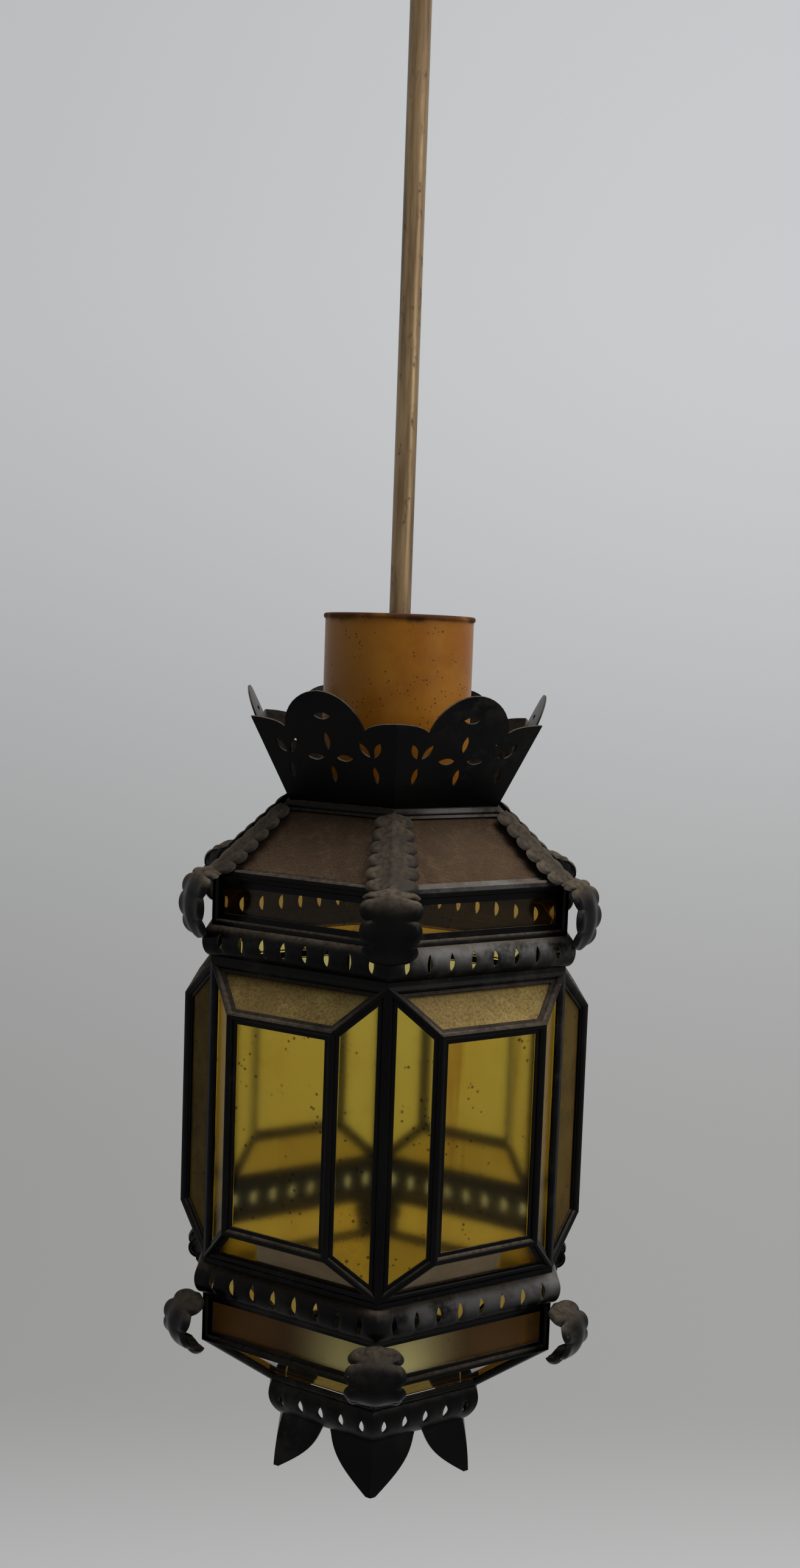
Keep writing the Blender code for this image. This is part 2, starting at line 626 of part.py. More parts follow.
def build_skirt():
    """Skirt of six petals, each folded on a corner, hanging from a band inside the small moulding."""
    band = BASE_RADIUS - RING_IN - SHEET - 2 * GAP
    upper = (band, 0.0)
    lower = (PETAL_TIP_RADIUS, -PETAL_DROP)
    length = wall_length(lower, upper)
    bm = bmesh.new()
    hex_walls(bm, [(band, SKIRT_BAND), (band, 0.0)])
    half = []
    for step in range(PETAL_EDGE_STEPS + 1):
        share = step / PETAL_EDGE_STEPS
        corner = PETAL_TIP_RADIUS / 2 * (1 - share) + band / 2 * share
        reach = PETAL_TIP_HALF * (1 - share) + (band - PETAL_SPACE) / 2 * share
        reach += PETAL_BELLY * math.sin(math.pi * share)
        half.append((corner - reach, length * share))
    outline = [(PETAL_TIP_RADIUS / 2, 0.0), (band / 2, length), (-band / 2, length), (-PETAL_TIP_RADIUS / 2, 0.0)]
    outline += [(-x, y) for x, y in half[:-1]]
    edge_drop = length * (1 - 0.02)
    outline += [(-PETAL_SPACE / 2, edge_drop), (PETAL_SPACE / 2, edge_drop)]
    outline += list(reversed(half[:-1]))
    pierced_walls(bm, lower, upper, [outline])
    thicken(place("petal_skirt", finish_mesh("petal_skirt", bm), BLACK_TIN, RING_FOOT_Z - GAP), SHEET)


def lobe(share, count):
    """Width of a scalloped edge along its length, 0 in the nicks and 1 on the lobes."""
    return abs(math.sin(math.pi * share * count)) ** 0.6


def leaf(name, path, steps, corner, level):
    """Sheet leaf folded on its midrib; path(share) gives its midrib, normal, half-width and fold."""
    bm = bmesh.new()
    bmesh.ops.create_grid(bm, x_segments=2, y_segments=steps, size=0.5)
    for vert in bm.verts:
        across = round(2 * vert.co.x)
        point, normal, half, fold = path(vert.co.y + 0.5)
        back = point - normal * fold * half * abs(across)
        vert.co = (back.x, across * half, back.y)
    mesh = finish_mesh(name, bm)
    if sum(face.normal.x for face in mesh.polygons) < 0:
        mesh.flip_normals()
    thicken(place(name, mesh, BLACK_TIN, level, CORNER_ANGLE + corner * TURN), SHEET)


def hip_leaf_path(share):
    """Hip leaf: straight down the hip, then round the curl in front of the upper band and moulding."""
    top = Vector(ROOF_RINGS[0])
    eave = Vector(ROOF_RINGS[1])
    hip = eave - top
    along = hip.normalized()
    up = Vector((-along.y, along.x))
    lift = up * (SHEET + GAP)
    start = top + along * LEAF_START + lift
    neck = eave + lift * 1.5
    reach = HIP_LOBES / (HIP_LOBES + CURL_LOBES)
    hip_fold = TAN30 * -hip.y / hip.length
    if share <= reach:
        part = share / reach
        half = LEAF_TOP_HALF + (LEAF_HALF_WIDTH - LEAF_TOP_HALF) * part
        half -= HIP_LOBE_DEPTH * (1 - lobe(part, HIP_LOBES))
        half += (LEAF_NECK_HALF - LEAF_HALF_WIDTH) * part ** 8
        return start.lerp(neck, part), up, half, hip_fold
    part = (share - reach) / (1 - reach)
    centre = Vector((BODY_RADIUS + CURL_OUT * 0.14, 2 * EAVE_LIP - ROOF_HEIGHT - CURL_TALL))
    angle = math.radians(CURL_START + (CURL_END - CURL_START) * part)
    normal = Vector((math.cos(angle) / CURL_OUT, math.sin(angle) / CURL_TALL)).normalized()
    point = centre + Vector((CURL_OUT * math.cos(angle), CURL_TALL * math.sin(angle)))
    half = CURL_HALF_WIDTH - LEAF_LOBE_DEPTH * (1 - lobe(part, CURL_LOBES))
    half += (LEAF_NECK_HALF - CURL_HALF_WIDTH) * (1 - part) ** 6
    half += (CURL_TIP_HALF - CURL_HALF_WIDTH) * part ** 5
    return point, normal, half, CURL_FOLD * min(1.0, 3 * part) + hip_fold * max(0.0, 1 - 3 * part)


def lower_leaf_path(share):
    """Lower leaf: a round curl in front of the lower band."""
    centre = Vector((BODY_RADIUS + LOWER_CURL_RADIUS * 0.30, -LOWER_CURL_RADIUS))
    angle = math.radians(LOWER_CURL_END * (1 - 2 * share))
    normal = Vector((math.cos(angle), math.sin(angle)))
    half = CURL_HALF_WIDTH - LEAF_LOBE_DEPTH * (1 - lobe(share, LOWER_CURL_LOBES))
    half += (CURL_TIP_HALF - CURL_HALF_WIDTH) * (share ** 6 + (1 - share) ** 6)
    return centre + normal * LOWER_CURL_RADIUS, normal, half, CURL_FOLD


def build_leaves():
    """Six hip leaves and six lower leaves, one of each at every corner."""
    for corner in range(SIDES):
        leaf(f"upper_leaf_{corner + 1}", hip_leaf_path, (HIP_LOBES + CURL_LOBES) * LOBE_STEPS, corner, ROOF_Z)
        leaf(f"lower_leaf_{corner + 1}", lower_leaf_path, LOWER_CURL_LOBES * LOBE_STEPS, corner, LOWER_BAND_Z)


build_suspension()
build_lampholder()
build_crown()
build_roof()
build_bands()
build_cage()
build_mouldings()
build_skirt()
build_leaves()
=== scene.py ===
import math

import bmesh
import bpy
from mathutils import Matrix, Vector
from mathutils.geometry import area_tri, delaunay_2d_cdt


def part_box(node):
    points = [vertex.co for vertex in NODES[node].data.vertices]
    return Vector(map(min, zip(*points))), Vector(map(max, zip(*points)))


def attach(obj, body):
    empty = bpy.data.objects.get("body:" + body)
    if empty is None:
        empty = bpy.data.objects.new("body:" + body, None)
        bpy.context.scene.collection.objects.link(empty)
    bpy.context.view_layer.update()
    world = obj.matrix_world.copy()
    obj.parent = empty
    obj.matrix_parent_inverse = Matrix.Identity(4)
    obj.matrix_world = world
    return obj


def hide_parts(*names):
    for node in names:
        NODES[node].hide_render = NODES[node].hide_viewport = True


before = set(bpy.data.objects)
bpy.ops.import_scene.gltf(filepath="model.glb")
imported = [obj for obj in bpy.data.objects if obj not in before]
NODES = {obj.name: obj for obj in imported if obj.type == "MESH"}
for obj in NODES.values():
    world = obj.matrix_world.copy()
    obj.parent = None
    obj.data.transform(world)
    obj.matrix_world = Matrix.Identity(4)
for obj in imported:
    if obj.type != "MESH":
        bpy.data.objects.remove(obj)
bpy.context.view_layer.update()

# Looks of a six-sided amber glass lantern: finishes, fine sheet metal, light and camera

# Camera: the photograph's place and turn, metres and degrees
CAMERA_AT = (-0.0053, -0.7062, -0.3185)
CAMERA_YAW = -0.487
CAMERA_ROLL = -1.995
CAMERA_TILT = -4.900
CAMERA_LENS = 34.5
CAMERA_NEAR = 0.01

# Stage
FLOOR_Z = -1.15
BACKDROP_Y = 1.5
STAGE_HALF_WIDTH = 3.0
BACKDROP_HIGH_Z = 1.5
SWEEP_RADIUS = 0.6
SWEEP_STEPS = 12
# Painted shade: the backdrop's tone darkens from its top towards its foot
BACKDROP_TOP = (0.640, 0.655, 0.670)
BACKDROP_FOOT = (0.390, 0.388, 0.384)
FLOOR_TONE = (0.565, 0.565, 0.565)
TONE_TOP_Z = 0.25         # where the backdrop has its top tone
TONE_SPAN_Y = (0.95, 0.45)    # where the backdrop's tone turns into the floor's
SHADE_SPAN_X = (-0.9, 0.7)    # where the left shade fades
LEFT_SHADE = 0.84         # brightness at the left, against the right
GLOW_SHARE = 0.85         # how much of the seen sweep is its own colour
PAPER_ROUGHNESS = 0.9
ROOM_SPAN_Y = (-0.3, 0.7)     # where the surroundings turn from dark to bright
ROOM_DARK = 0.06          # strength of the surroundings behind the camera
ROOM_BRIGHT = 0.85        # strength of the surroundings behind the object

# Lamps: place, size and power
LIGHT_AIM = (0.0, 0.0, -0.52)
TOP_SOFT = ((0.30, -0.10, 0.80), 1.0, 22.0)
SIDE_FILL = ((1.4, -0.9, 0.2), 0.7, 5.0)

# Hexagon
SIDES = 6
TURN = 2 * math.pi / SIDES
CORNER_ANGLE = TURN / 2
COS30 = math.cos(math.pi / SIDES)
TAN30 = math.tan(math.pi / SIDES)

# Sides with grime all over the glass, and those that meet at the front corner
GRIMY_SIDES = (1, 4)
FRONT_SIDES = (5, 6)

# Sheet metal and cames
SHEET = 0.0008
WELD = 0.00002
RING_WELD = 0.00001
LEVEL_REACH = 0.0002      # how near to a height a point counts as at it
SHARP_ANGLE = 38          # degrees between faces that shows as an edge
BEAD_WIDTH = 0.0046
BEAD_HEIGHT = 0.0018
BEAD_STEPS = 4
CAME_HALF = 0.0039
BAND_CAME_HALF = 0.0050
FLANGE_IN = 0.0026
EAVE_LIP = 0.0018
CAGE_STRIP = 0.0021
BAY_BEVEL = 0.0192

# Pierced mouldings
SLOT_PITCH = 0.0112
SLOT_WIDTH = 0.0024
MOULD_SLOTS = 8
MOULD_SLOT_LENGTH = 0.0086
RING_SLOTS = 5
RING_SLOT_LENGTH = 0.0064
RING_SLOT_SHARE = 0.50    # how far down the small moulding its slots are
RING_BULGE = 0.0036
RING_FULLNESS = 0.8       # power that fills out the small moulding's bulge
RING_ROWS = 14
ROUND_ROWS = 5            # rows of a large moulding above its slots
SLOT_ROWS = 3
CELL_PARTS = (-0.5, -0.36, -0.25, -0.17)
CREASE_REACH = 0.30       # half-width of the crease at a slot, in pitches
CREASE_DEPTH = 0.0008

# Crown
CROWN_NOTCH_HEIGHT = 0.0330
CROWN_NOTCH_AT = 0.0204
CROWN_SLOT_LENGTH = 0.0086
CROWN_SLOT_WIDTH = 0.0032
CROSS_HEIGHT = 0.0212
CROSS_REACH = 0.0074
PETAL_SLOT_DROP = 0.0105
TREFOIL_AT = 0.0215
TREFOIL_HEIGHT = 0.0205
TREFOIL_REACH = 0.0060
TREFOIL_ARMS = (57, 123, 270)
PETAL_BEND_FROM = 0.55    # how far up the sheet the petals begin to lean in
PETAL_BEND = 1.0
PANEL_SPACING = 0.0024
PANEL_CLEAR = 0.5         # least distance of an inner point from the edge, in spacings
SLIVER = 1e-9             # triangles under this area are left out
INSIDE_ONLY = 1           # kind of triangulation that stays inside the outlines
CDT_EPSILON = 1e-7
ALMOND_STEPS = 7
ARC_STEPS = 10

# Petal skirt
SKIRT_BAND = 0.0028
PETAL_TIP_HALF = 0.0026
PETAL_SPACE = 0.0040
PETAL_BELLY = 0.0045
PETAL_GAP_SHARE = 0.02
PETAL_ROUND = 0.0008
PETAL_STEPS = 12

# Leaves
LEAF_GAP = 0.0003
LEAF_START = 0.0030
LEAF_TOP_HALF = 0.0082
LEAF_HALF_WIDTH = 0.0130
LEAF_NECK_HALF = 0.0100
CURL_HALF_WIDTH = 0.0134
CURL_TIP_HALF = 0.0095
HIP_LOBE_DEPTH = 0.0022
LEAF_LOBE_DEPTH = 0.0024
HIP_LOBES = 6
CURL_LOBES = 4
LOWER_CURL_LOBES = 4
LOBE_STEPS = 12
LOBE_FULLNESS = 0.6       # power that fills out the lobes
LEAF_COLUMNS = 18
NECK_LIFT = 1.5           # lift of the leaf at the eave, against its start
NECK_POWER = 8            # how late the hip leaf narrows to its neck
CURL_NECK_POWER = 6       # how soon the curl widens from the neck
CURL_TIP_POWER = 5        # how late the curl narrows to its tip
LOWER_TIP_POWER = 6
FOLD_BLEND = 3            # pace at which the fold turns into the curl's
RELIEF_BLEND = 4          # pace at which the relief turns into the curl's
CURL_CENTRE_OUT = 0.14    # curl's centre outside the corner, as a share of CURL_OUT
LOWER_CENTRE_OUT = 0.30   # the same for the lower curl, as a share of its radius
CURL_OUT = 0.0112
CURL_TALL = 0.0170
CURL_START = 97
CURL_END = -62
CURL_FOLD = 0.30
LOWER_CURL_RADIUS = 0.0124
LOWER_CURL_END = 101
HIP_EMBOSS = 0.0009       # how far the lobes stand above the nicks
CURL_EMBOSS = 0.0015
EMBOSS_FROM = 0.75        # where the lobes reach that height, from midrib to edge
EMBOSS_POWER = 4
EDGE_FROM = 0.80          # where they start to drop again
EDGE_DROP = 0.9           # how much of that height they lose at the edge
HIP_RIDGE = 0.02          # roundness of the midrib, as a share of the half-width
CURL_RIDGE = 0.20

# Suspension
ROD_WALL = 0.0010
CUP_WALL = 0.0012
CUP_RIM_PROUD = 0.0008
CUP_RIM_HEIGHT = 0.0024
CUP_FOOT_RADIUS = 0.0030
CUP_HOLE_FIT = 0.0005
ROD_SPANS = 40
ROD_SIDES = 32
CUP_SIDES = 72
CUP_ROWS = 9
CUP_ARC_STEPS = 6

# Where finishes change: metres, or parts of a normal for what looks up or down
LOOKS_UP = (0.25, 0.45)
LOOKS_DOWN = (-0.2, -0.4)
# Faces and side of the tin that get grey dust and a painted sheen
DUST_AND_SHEEN_LOOKS_UP = (-0.45, 0.40)
DUST_AND_SHEEN_SPAN_X = (0.0, 0.022)
END_SPAN_X = (0.010, 0.042)
# Where the painted pale reflection on down-facing glass lies
REFLECTION_EDGE_X = (0.057, 0.054)
REFLECTION_WAVE = 0.004
HAZE_PATCH = 1.15
RUST_SPAN = (0.0008, 0.0045)
RUST_WAVE = 0.010
OUTSIDE_SPAN = (0.0, 0.002)
SIGN_SPAN = (-0.001, 0.001)

# Stretches along X, Y and Z
HORIZONTAL = (1.0, 1.0, 0.0)
DRIP = (1.0, 1.0, 0.12)
RUN = (1.0, 1.0, 0.07)
PAINT_RUN = (1.0, 1.0, 0.2)
BRASS_STREAK = (1.0, 1.0, 0.06)
BRASS_SPOT = (1.0, 1.0, 0.45)

# Colours; a pair is what the finish varies between
BLACK_PAINT = ((0.0009, 0.0008, 0.0008), (0.0034, 0.0029, 0.0025))
WORN_SPECK = (0.10, 0.085, 0.065)
SCUFFED = (0.030, 0.027, 0.024)
# Grey of the dust and painted sheen on the tin's right side
DUST_AND_SHEEN_GREY = (0.200, 0.193, 0.186)
DUST = ((0.062, 0.048, 0.034), (0.125, 0.100, 0.074))
AMBER_TINTS = ((0.845, 0.75, 0.27), (0.82, 0.67, 0.19))
BAND_TINTS = ((0.79, 0.61, 0.17), (0.73, 0.52, 0.13))
PALE_TINTS = ((0.93, 0.86, 0.50), (0.90, 0.79, 0.40))
BAND_END = (0.17, 0.095, 0.034)
BROWN_TINTS = ((0.68, 0.46, 0.11), (0.60, 0.38, 0.075))
UPPER_TINTS = ((0.60, 0.39, 0.090), (0.50, 0.30, 0.055))
DEEP_BROWN_TINTS = ((0.31, 0.160, 0.036), (0.24, 0.112, 0.024))
BROWN_AMBER = (0.57, 0.41, 0.088)
GLASS_DRIP = (0.62, 0.42, 0.075)
GLASS_RUST = (0.50, 0.235, 0.030)
GLASS_DIRT = (0.10, 0.055, 0.025)
GRIME = (0.030, 0.019, 0.008)
BROWN_STAIN = (0.095, 0.055, 0.010)
# Bright olive coat that paints the glow near the lower band's front corner
PAINTED_GLOW_OLIVE = (0.780, 0.690, 0.270)
PANE_DUST = ((0.088, 0.051, 0.016), (0.270, 0.176, 0.062))
PANE_DUST_PATCH = (0.145, 0.090, 0.034)
# Tones of the pale reflection painted on down-facing panes
PAINTED_REFLECTION_TONES = ((0.235, 0.180, 0.148), (0.120, 0.085, 0.062))
ROOF_DUST = ((0.072, 0.042, 0.022), (0.118, 0.073, 0.041))
ROOF_LUMP = (0.170, 0.110, 0.066)
ROOF_GRAIN = (0.028, 0.018, 0.011)
OCHRE_TONES = ((0.32, 0.104, 0.008), (0.45, 0.182, 0.016))
OCHRE_RUN = (0.52, 0.260, 0.045)
OCHRE_SPECK = (0.035, 0.016, 0.008)
CUP_RUST = (0.060, 0.021, 0.009)
BRASS_TONES = ((0.125, 0.070, 0.027), (0.310, 0.205, 0.095))
TARNISH = (0.060, 0.038, 0.021)
STEEL_TONES = ((0.22, 0.21, 0.20), (0.42, 0.41, 0.39))
BAKELITE_TONES = ((0.010, 0.008, 0.007), (0.022, 0.017, 0.014))
PORCELAIN_TONES = ((0.66, 0.64, 0.58), (0.76, 0.74, 0.69))
GLASS_IOR = 1.20
TIN_SPECULAR = 0.07
ROOF_SPECULAR = 0.2
OCHRE_SPECULAR = 0.18

BODY_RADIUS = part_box("upper_band_frame")[1].y


def level(node, top=True):
    """Height of a node's top or foot."""
    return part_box(node)[1 if top else 0].z


def span(node):
    """Heights of a node's top and foot."""
    return level(node), level(node, False)


def corner_radius(node):
    """Corner radius of a six-sided node, whose corners lie on the Y axis."""
    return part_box(node)[1].y


# Materials


class Graph:
    """A node tree and short ways to add to it."""

    def __init__(self, tree):
        self.nodes = tree.nodes
        self.links = tree.links

    def add(self, kind, **numbers):
        """New node with some of its sockets set."""
        node = self.nodes.new("ShaderNode" + kind)
        for name, number in numbers.items():
            node.inputs[name.replace("_", " ")].default_value = number
        return node

    def feed(self, value, socket):
        """Set a socket to a value, or link it."""
        if hasattr(value, "is_linked"):
            self.links.new(value, socket)
        else:
            socket.default_value = (*value, 1.0) if isinstance(value, tuple) else value

    def ramp(self, value, low, high, start=0.0, end=1.0, kind="SMOOTHSTEP"):
        """Value that goes from start to end between low and high, and no further."""
        node = self.add("MapRange", From_Min=low, From_Max=high, To_Min=start, To_Max=end)
        node.interpolation_type = kind
        self.links.new(value, node.inputs["Value"])
        return node.outputs["Result"]

    def math(self, operation, first, second):
        """Math node of two values."""
        node = self.add("Math")
        node.operation = operation
        self.feed(first, node.inputs[0])
        self.feed(second, node.inputs[1])
        return node.outputs[0]

    def both(self, first, second):
        """Product of two masks."""
        return self.math("MULTIPLY", first, second)

    def mix(self, factor, first, second):
        """Colour between two colours, which are sockets 6 and 7 of the node."""
        node = self.add("Mix")
        node.data_type = "RGBA"
        self.feed(factor, node.inputs[0])
        self.feed(first, node.inputs[6])
        self.feed(second, node.inputs[7])
        return node.outputs[2]

    def axis(self, vector, name):
        """One coordinate of a vector."""
        split = self.add("SeparateXYZ")
        self.links.new(vector, split.inputs[0])
        return split.outputs[name]

    def seen(self):
        """Mask of the rays that show a thing, straight or by gloss and glass."""
        path = self.add("LightPath")
        mask = path.outputs["Is Camera Ray"]
        for ray in ("Is Glossy Ray", "Is Transmission Ray"):
            mask = self.math("MAXIMUM", mask, path.outputs[ray])
        return mask


class Finish(Graph):
    """A procedural material around one Principled shader."""

    def __init__(self, name, roughness=0.5, metallic=0.0, specular=0.5):
        self.material = bpy.data.materials.new(name)
        self.material.use_nodes = True
        super().__init__(self.material.node_tree)
        self.shader = self.nodes["Principled BSDF"]
        self.set(Roughness=roughness, Metallic=metallic, Specular_IOR_Level=specular)
        self.place = self.add("TexCoord").outputs["Object"]
        self.geometry = self.add("NewGeometry")

    def stretch(self, scale):
        """Object coordinates stretched along each axis."""
        mapping = self.add("Mapping", Scale=scale)
        self.links.new(self.place, mapping.inputs["Vector"])
        return mapping.outputs["Vector"]

    def cloud(self, scale, detail, roughness=0.55, vector=None):
        """Noise value, 0 to 1."""
        node = self.add("TexNoise", Scale=scale, Detail=detail, Roughness=roughness)
        self.links.new(vector or self.place, node.inputs["Vector"])
        return node.outputs["Fac"]

    def cells(self, scale):
        """Distance to the nearest of many scattered points."""
        node = self.add("TexVoronoi", Scale=scale)
        self.links.new(self.place, node.inputs["Vector"])
        return node.outputs["Distance"]

    def upward(self, low, high):
        """How far the surface looks up, as a mask."""
        return self.ramp(self.axis(self.geometry.outputs["Normal"], "Z"), low, high)

    def pane_side(self):
        """Mask of the pane's outside, and the Z of the pane's outward normal."""
        normal = self.geometry.outputs["True Normal"]
        across = self.add("VectorMath")
        across.operation = "MULTIPLY"
        across.inputs[1].default_value = HORIZONTAL
        self.links.new(self.place, across.inputs[0])
        facing = self.add("VectorMath")
        facing.operation = "DOT_PRODUCT"
        self.links.new(across.outputs["Vector"], facing.inputs[0])
        self.links.new(normal, facing.inputs[1])
        outside = self.ramp(facing.outputs["Value"], *OUTSIDE_SPAN)
        sign = self.ramp(facing.outputs["Value"], *SIGN_SPAN, -1.0, 1.0)
        return outside, self.both(self.axis(normal, "Z"), sign)

    def spot(self, axis):
        """One coordinate of the surface point, in the piece's own frame."""
        return self.axis(self.place, axis)

    def bump(self, value, distance, strength):
        """Relief on the shader's normal."""
        node = self.add("Bump", Distance=distance, Strength=strength)
        self.links.new(value, node.inputs["Height"])
        self.links.new(node.outputs["Normal"], self.shader.inputs["Normal"])

    def set(self, **inputs):
        """Link or set the shader's sockets, named with underscores."""
        for name, value in inputs.items():
            self.feed(value, self.shader.inputs[name.replace("_", " ")])


def black_tin(name, dust_low=0.25, dust_high=0.95, dust_and_sheen_share=0.0):
    """Black paint on tin: scuffs, worn specks, dust on what looks up, and perhaps grey dust with a painted
    sheen on the right side.
    """
    finish = Finish(name, specular=TIN_SPECULAR)
    patches = finish.cloud(38.0, 6.0)
    grain = finish.cloud(420.0, 3.0)
    paint = finish.mix(finish.ramp(patches, 0.35, 0.75), *BLACK_PAINT)
    specks = finish.ramp(finish.cells(160.0), 0.10, 0.05)
    worn = finish.both(specks, finish.ramp(finish.cloud(26.0, 2.0), 0.60, 0.68))
    scuffs = finish.both(finish.ramp(finish.cloud(13.0, 3.0), 0.52, 0.66),
                         finish.ramp(finish.cloud(90.0, 5.0, 0.7), 0.42, 0.66, 0.0, 0.8))
    paint = finish.mix(scuffs, paint, SCUFFED)
    paint = finish.mix(worn, paint, WORN_SPECK)
    # Grey dust and a painted sheen on the right side, most on faces that look up
    if dust_and_sheen_share:
        dust_and_sheen = finish.both(finish.upward(*DUST_AND_SHEEN_LOOKS_UP), finish.ramp(finish.spot("X"), *DUST_AND_SHEEN_SPAN_X))
        dust_and_sheen = finish.both(dust_and_sheen, finish.ramp(finish.cloud(55.0, 6.0, 0.7), 0.31, 0.58, 0.0, dust_and_sheen_share))
        paint = finish.mix(dust_and_sheen, paint, DUST_AND_SHEEN_GREY)
    settled = finish.both(finish.upward(dust_low, dust_high), finish.ramp(patches, 0.22, 0.62, 0.25, 1.0))
    settled = finish.both(settled, finish.ramp(grain, 0.25, 0.60, 0.45, 1.0))
    veil = finish.ramp(finish.cloud(14.0, 5.0), 0.50, 0.85, 0.0, 0.02)
    dust = finish.math("MAXIMUM", settled, veil)
    finish.set(Base_Color=finish.mix(dust, paint, finish.mix(grain, *DUST)),
               Roughness=finish.ramp(dust, 0.0, 0.7, 0.30, 0.92))
    finish.bump(finish.math("ADD", finish.both(grain, 0.35), patches), 0.0004, 0.5)
    return finish.material


def amber_glass(name, tints, stain_and_glow, blur, grime_and_glow=0.0, low_reflection=0.0, ends=None, frost=0.80):
    """Amber window glass with drips and specks.

    Panes that look up are dusty outside, and those that look down are browner, with a painted pale
    reflection near the front and back corners. A coat of the given colour covers the outside, dirt on other
    panes and a painted glow on the front band's panes, and the glass may turn to another colour away from
    those corners.
    """
    finish = Finish(name)
    outside, outward = finish.pane_side()
    sway = finish.cloud(16.0, 3.0)
    streaks = finish.cloud(30.0, 4.0, vector=finish.stretch(DRIP))
    amber = finish.mix(finish.ramp(sway, 0.3, 0.7), *tints)
    amber = finish.mix(finish.ramp(streaks, 0.54, 0.80, 0.0, 0.6), amber, GLASS_DRIP)
    amber = finish.mix(finish.ramp(outward, *LOOKS_DOWN, 0.0, 0.85), amber, BROWN_AMBER)
    sideways = finish.math("ABSOLUTE", finish.spot("X"), 0.0)
    if ends:
        far = finish.ramp(sideways, *END_SPAN_X)
        amber = finish.mix(far, amber, ends)
        stain_and_glow = finish.mix(far, stain_and_glow, ends)
    runs = finish.cloud(75.0, 3.0, vector=finish.stretch(RUN))
    amber = finish.mix(finish.ramp(runs, 0.61, 0.73, 0.0, 0.75), amber, GLASS_RUST)
    specks = finish.ramp(finish.cells(230.0), 0.21, 0.12)
    dirt = finish.both(specks, finish.ramp(finish.cloud(60.0, 2.0), 0.49, 0.58))
    amber = finish.mix(dirt, amber, GLASS_DIRT)
    grain = finish.cloud(900.0, 4.0, 0.75)
    patches = finish.cloud(46.0, 6.0, 0.65)
    top = finish.ramp(outward, *LOOKS_UP)
    settled = finish.both(top, finish.ramp(patches, 0.30, 0.55, 0.78, 0.95))
    # Coat over the whole outside: dirt on other panes, a painted glow on the front band's panes
    haze_and_glow = finish.ramp(patches, 0.35, 0.75, grime_and_glow, grime_and_glow * HAZE_PATCH)
    dust = finish.both(finish.math("MAXIMUM", settled, haze_and_glow), outside)
    coat = finish.mix(finish.ramp(grain, 0.36, 0.60), *PANE_DUST)
    coat = finish.mix(finish.ramp(patches, 0.42, 0.66, 0.0, 0.5), coat, PANE_DUST_PATCH)
    coat = finish.mix(top, stain_and_glow, coat)
    # Painted reflection: a pale patch outside down-facing panes near the front and back corners, which
    # joins the dust mask
    edge = finish.math("ADD", sideways, finish.both(patches, REFLECTION_WAVE))
    veil = finish.both(finish.ramp(outward, *LOOKS_DOWN, 0.0, low_reflection), finish.ramp(edge, *REFLECTION_EDGE_X))
    pale = finish.both(veil, outside)
    reflection_tone = finish.mix(finish.ramp(patches, 0.35, 0.65, 0.0, 0.65), *PAINTED_REFLECTION_TONES)
    coat = finish.mix(finish.ramp(pale, 0.0, 0.2), coat, reflection_tone)
    dust = finish.math("MAXIMUM", dust, pale)
    roughness = blur
    if frost > blur:
        roughness = finish.ramp(finish.math("MAXIMUM", dust, veil), 0.0, 0.9, blur, frost)
    finish.set(Base_Color=finish.mix(dust, amber, coat),
               Roughness=roughness,
               Transmission_Weight=finish.ramp(dust, 0.05, 0.95, 1.0, 0.08),
               IOR=GLASS_IOR)
    finish.bump(finish.cloud(22.0, 2.0), 0.0006, 0.35)
    return finish.material


def roof_glass():
    """Roof glass under a coat of brown dust."""
    finish = Finish("roof_glass", specular=ROOF_SPECULAR)
    grain = finish.cloud(900.0, 4.0, 0.7)
    lumps = finish.cloud(165.0, 5.0, 0.68)
    patches = finish.cloud(24.0, 5.0)
    dust = finish.mix(finish.ramp(patches, 0.3, 0.7), *ROOF_DUST)
    dust = finish.mix(finish.ramp(lumps, 0.45, 0.75, 0.0, 0.8), dust, ROOF_LUMP)
    dust = finish.mix(finish.ramp(grain, 0.55, 0.75, 0.0, 0.7), dust, ROOF_GRAIN)
    finish.set(Base_Color=dust, Roughness=finish.ramp(lumps, 0.3, 0.7, 0.8, 1.0))
    finish.bump(finish.math("ADD", grain, lumps), 0.0017, 1.0)
    return finish.material


def ochre_paint():
    """Ochre paint, mottled, with dark specks and rust along the rim."""
    finish = Finish("ochre_paint", specular=OCHRE_SPECULAR)
    rim = level("canopy_cup")
    blotches = finish.cloud(26.0, 5.0, 0.6)
    runs = finish.cloud(40.0, 3.0, vector=finish.stretch(PAINT_RUN))
    paint = finish.mix(finish.ramp(blotches, 0.30, 0.70), *OCHRE_TONES)
    paint = finish.mix(finish.ramp(runs, 0.52, 0.78, 0.0, 0.6), paint, OCHRE_RUN)
    specks = finish.ramp(finish.cells(520.0), 0.26, 0.12)
    dots = finish.both(specks, finish.ramp(finish.cloud(150.0, 3.0), 0.50, 0.58))
    paint = finish.mix(dots, paint, OCHRE_SPECK)
    edge = finish.math("ADD", finish.spot("Z"), finish.both(finish.cloud(60.0, 5.0), RUST_WAVE))
    rust = finish.ramp(edge, rim + RUST_SPAN[0], rim + RUST_SPAN[1])
    finish.set(Base_Color=finish.mix(rust, paint, CUP_RUST),
               Roughness=finish.ramp(finish.math("MAXIMUM", rust, dots), 0.0, 1.0, 0.34, 0.85))
    finish.bump(blotches, 0.0006, 0.3)
    return finish.material


